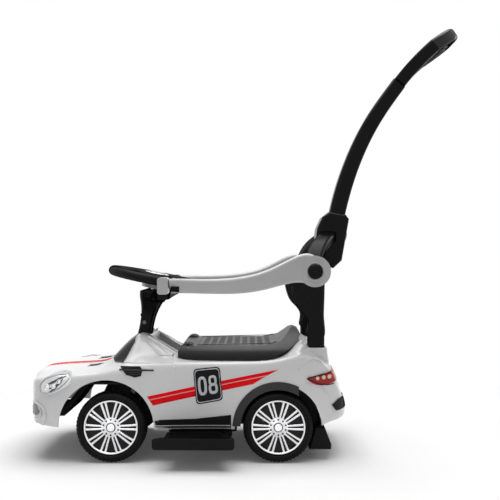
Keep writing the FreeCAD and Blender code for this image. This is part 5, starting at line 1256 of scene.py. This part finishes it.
# each row: radius, half the width
STEERING_SPOKE_ROWS = [(0.0240, 0.0150), (0.0360, 0.0131), (0.0560, 0.0128), (0.0760, 0.0131), (0.0860, 0.0150)]
STEERING_SPOKE_SECTION = [
    (-1, -0.0030), (-1, 0.0030), (-0.86, 0.0050), (0.86, 0.0050), (1, 0.0030), (1, -0.0030), (0.8, -0.0050),
    (-0.8, -0.0050),
]
STEERING_HUB = [
    (0.0005, -0.0110), (0.0240, -0.0110), (0.0285, -0.0095), (0.0310, -0.0050), (0.0310, 0.0040), (0.0296, 0.0085),
    (0.0262, 0.0106), (0.0206, 0.0110), (0.0183, 0.0104), (0.0178, 0.0008), (0.0005, 0.0008),
]
HUB_TRIM = [
    (0.0258, 0.0100), (0.0256, 0.0114), (0.0244, 0.0120), (0.0226, 0.0120), (0.0216, 0.0113), (0.0216, 0.0100),
]
HORN_CAP = [
    (0.0004, 0.0042), (0.0164, 0.0042), (0.0170, 0.0048), (0.0170, 0.0128), (0.0163, 0.0142), (0.0142, 0.0148),
    (0.0131, 0.0142), (0.0121, 0.0147), (0.0060, 0.01495), (0.0004, 0.0150),
]


def on_column(mesh):
    """Points and faces, with the points set on the steering column."""
    points, faces = mesh
    return [column_set @ Vector(point) for point in points], faces


def steering_rim(steps=144, around=20):
    points = []
    for i in range(steps):
        turn = 2 * math.pi * i / steps
        for j in range(around):
            t = 2 * math.pi * j / around
            under = max(0.0, -math.sin(t)) * max(0.0, math.cos(t + math.pi) * 0.5 + 0.5)
            tube = RIM_TUBE * (0.985 - RIDGE_DEPTH * under * (1 + math.cos(FINGER_RIDGES * turn)) / 2)
            radius = RIM_RADIUS + tube * math.cos(t) * 0.98
            points.append((radius * math.cos(turn), tube * math.sin(t), radius * math.sin(turn)))
    return points, [face[:1] + face[:0:-1] for face in tube_faces(steps, around)]


def steering_spoke(turn):
    rings = []
    for radius, half in STEERING_SPOKE_ROWS:
        rings.append([spoke_place(radius, across * half, up, turn) for across, up in STEERING_SPOKE_SECTION])
    return skinned(rings)


steering_parts = [steering_rim(), turned(STEERING_HUB, 72)]
steering_parts += [steering_spoke(2 * math.pi * i / STEERING_SPOKES) for i in range(STEERING_SPOKES)]
steering_mesh = on_column(joined(steering_parts))
steering_ring = made("steering_ring", *steering_mesh, black_satin, body="steering", slot="black_plastic")
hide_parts("steering_wheel")
sharp_folds(steering_ring, 45)
made("steering_hub_ring", *on_column(turned(HUB_TRIM, 72)), bright_plate, body="steering", slot="chrome")
horn_mesh = on_column(turned(HORN_CAP, 64))
horn_cap = made("horn_cap", *horn_mesh, rail_silver, body="horn_button", slot="white_cap")
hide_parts("horn_button")
print("steering wheel", round(2 * (RIM_RADIUS + RIM_TUBE) * 1000), "mm across")

# %% [markdown]
# Each release button is a small block with upright ribs for the thumb. Its outline, seen from above, has the
# ribs in it, and the outline is skinned from the bottom to the top with drawn-in ends.

# %% rail buttons
BUTTON_RIBS, BUTTON_RIB_DEPTH = 6, 0.0012
# each row: share of a rib's pitch, depth
BUTTON_RIB = [(0.06, BUTTON_RIB_DEPTH), (0.22, 0.0), (0.58, 0.0), (0.74, BUTTON_RIB_DEPTH)]
BUTTON_ROUND = 0.0010


def ribbed_button(word, side):
    low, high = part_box(f"rail_button_{word}")
    outer, inner = (low.y, high.y) if side == LEFT else (high.y, low.y)
    pitch = (high.x - low.x) / BUTTON_RIBS
    outline = [(low.x, inner)]
    for i in range(BUTTON_RIBS):
        start = low.x + i * pitch
        outline += [(start + share * pitch, outer - side * depth) for share, depth in BUTTON_RIB]
    outline += [(high.x, outer - side * BUTTON_RIB_DEPTH), (high.x, inner)]
    middle_x = (low.x + high.x) / 2
    rings = []
    for z, size in (
        (low.z, BUTTON_ROUND), (low.z + BUTTON_ROUND, 0.0), (high.z - BUTTON_ROUND, 0.0), (high.z, BUTTON_ROUND),
    ):
        ring = []
        for x, y in outline:
            drawn_x = x + (size if x < middle_x else -size) * 0.5
            ring.append((drawn_x, y - side * size * (abs(y - outer) < 0.002), z))
        rings.append(ring)
    button = made(f"release_button_{word}", *skinned(rings), black_satin, body=f"rail_button_{word}",
                  slot="black_plastic", smooth=False)
    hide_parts(f"rail_button_{word}")


for word, side in SIDES.items():
    ribbed_button(word, side)
print("two buttons with", BUTTON_RIBS, "ribs each")

# %% [markdown]
# A domed knob holds each rail on its pin, and a pale ring frames it on the rail's round end. Both are turned
# about the rail's pivot. The knobs stay with the car, and the rings move with the rails.

# %% knobs and their rings
knob_low, knob_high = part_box("rail_knobs")
KNOB_RADIUS = (knob_high.x - knob_low.x) / 2
RAIL_FACE = 0.1715
KNOB_TOP = knob_high.y - RAIL_FACE
# each row: radius inside the knob's edge, height between the rail's face and the knob's top
KNOB_ROWS = [
    (0.0, 0.06), (0.0, 0.40), (0.0007, 0.58), (0.0022, 0.72), (0.0028, 0.72), (0.0036, 0.80), (0.0062, 0.92),
    (0.0100, 0.98),
]
# each row: radius outside the knob's edge, height over the rail's face
RING_ROWS = [
    (0.0006, 0.0), (0.0008, 0.0008), (0.0016, 0.0013), (0.0028, 0.0011), (0.0034, 0.0002), (0.0034, -0.0008),
    (0.0006, -0.0008),
]
knob_profile = [(KNOB_RADIUS - inset, KNOB_TOP * share) for inset, share in KNOB_ROWS]
knob_profile += [(0.0003, KNOB_TOP), (0.0003, KNOB_TOP * 0.06)]
ring_profile = [(KNOB_RADIUS + grow, height) for grow, height in RING_ROWS]


def on_pivot(profile, pivot, side):
    """A profile turned about a rail's pivot, outwards from the rail's face."""
    points, faces = turned(profile, 72)
    return [(pivot.x + x, side * (RAIL_FACE + y), pivot.z + z) for x, y, z in points], faces


knob_parts = []
for word, side in SIDES.items():
    pivot = joint_place(f"rail_{word}_swing")
    knob_parts.append(on_pivot(knob_profile, pivot, side))
    ring_mesh = on_pivot(ring_profile, pivot, side)
    made(f"knob_ring_{word}", *ring_mesh, bezel_grey, body=f"rail_{word}", slot="rail_grey")
knobs = made("domed_knobs", *joined(knob_parts), black_shine, slot="black_gloss")
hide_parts("rail_knobs")
print("knobs", round(KNOB_RADIUS * 2000), "mm across")

# %% [markdown]
# Each footrest is a step with slanted ends: a raised lip runs round a sunk field with ribs against slipping,
# and a tongue reaches in under the floor. The step is a rounded outline that is skinned upwards, over the
# lip and down to the field.

# %% footrests
STEP_CORNERS = [(-0.1870, 0.2020), (-0.0220, 0.2050), (-0.0440, 0.1428), (-0.1610, 0.1428), (-0.1615, 0.1900)]
# each row: share of the step's height, distance drawn in
STEP_ROWS = [
    (0.0, 0.0036), (0.08, 0.0012), (0.25, 0.0), (0.84, 0.0), (0.95, 0.0008), (1.0, 0.0026), (1.0, 0.0058),
    (0.90, 0.0072),
]
TONGUE_END, TONGUE_ROOT = 0.1400, 0.1560  # the solid is all tongue inside the first; it enters the step at the second
STEP_RIBS, STEP_RIB_START, STEP_RIB_PITCH, STEP_RIB_HALF = 6, 0.1520, 0.0085, 0.0013


def block(low, high):
    """A closed box between two corners."""
    corners = [(low[0], low[2]), (high[0], low[2]), (high[0], high[2]), (low[0], high[2])]
    return skinned([[(x, y, z) for x, z in corners] for y in (low[1], high[1])])


for word, side in SIDES.items():
    low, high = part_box(f"footrest_{word}")
    rise = high.z - low.z
    corners = [(x, side * y) for x, y in STEP_CORNERS]
    rings = []
    for share, inset in STEP_ROWS:
        rings.append([(x, y, low.z + rise * share) for x, y in rounded_outline(corners, inset, 0.0075)])
    field = low.z + rise * STEP_ROWS[-1][0]
    parts = [skinned(rings)]
    for i in range(STEP_RIBS):
        y = side * (STEP_RIB_START + STEP_RIB_PITCH * i)
        rib_low = (-0.1530, y - STEP_RIB_HALF, field - 0.001)
        parts.append(block(rib_low, (-0.0560 + 0.003 * i, y + STEP_RIB_HALF, field + 0.0011)))
    solid = nodes[f"footrest_{word}"].data
    tongue = [vertex.co for vertex in solid.vertices if abs(vertex.co.y) < TONGUE_END]
    tongue_low = [min(point[i] for point in tongue) for i in range(3)]
    tongue_high = [max(point[i] for point in tongue) for i in range(3)]
    reach = sorted((side * TONGUE_ROOT, tongue_high[1] if side == LEFT else tongue_low[1]))
    parts.append(block((tongue_low[0], reach[0], tongue_low[2]), (tongue_high[0], reach[1], tongue_high[2])))
    step = made(f"step_{word}", *joined(parts), black_satin, body=f"footrest_{word}", slot="black_plastic")
    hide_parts(f"footrest_{word}")
    sharp_folds(step, 40)
print("two steps with", STEP_RIBS, "ribs each")

# %% [markdown]
# The moulded blocks of the handle, the stop behind the rear wheels and the rail clips have round edges. Their
# solids are welded first and then bevelled along the sharp edges only.

# %% round edges
ROUND_EDGES = {"handle_housing": 0.0045, "anti_tip_stop": 0.003, "rail_clips": 0.002}
for name, width in ROUND_EDGES.items():
    weld = nodes[name].modifiers.new("welded", "WELD")
    weld.merge_threshold = 1e-6
    edge = nodes[name].modifiers.new("round_edge", "BEVEL")
    edge.width = width
    edge.segments = 3
    edge.limit_method = "ANGLE"
    edge.angle_limit = math.radians(40)
    nodes[name].modifiers.new("even_shading", "WEIGHTED_NORMAL")
print(len(ROUND_EDGES), "solids rounded")

# %% [markdown]
# A small round screw head shows on each side of the front post.

# %% post screws
post_skin = skin_of("front_post")
SCREW_PLACE, SCREW_RADIUS, SCREW_HEIGHT = (-0.2237, 0.2716), 0.0042, 0.0012
for word, side in SIDES.items():
    on_post = on_side(post_skin, side, RIB_LIFT)
    outline = round_outline(*SCREW_PLACE, SCREW_RADIUS)
    raised(film(f"post_screw_{word}", outline, on_post, mid_grey, step=0.003, slot="steel"), SCREW_HEIGHT)
print("post screws at", SCREW_PLACE)

# %% [markdown]
# Printed films are thin but not without thickness. Every sheet that hasn't got one yet gets half a
# millimetre towards the skin that it lies on, so that each piece is a closed body.

# %% thickness of the films
FILM_THICKNESS = 0.0005
thin = [piece for piece in sheets if not piece.modifiers]
for piece in thin:
    solid = piece.modifiers.new("film_thickness", "SOLIDIFY")
    solid.thickness = FILM_THICKNESS
    solid.offset = -1.0
print(len(thin), "films of", len(sheets), "sheets")
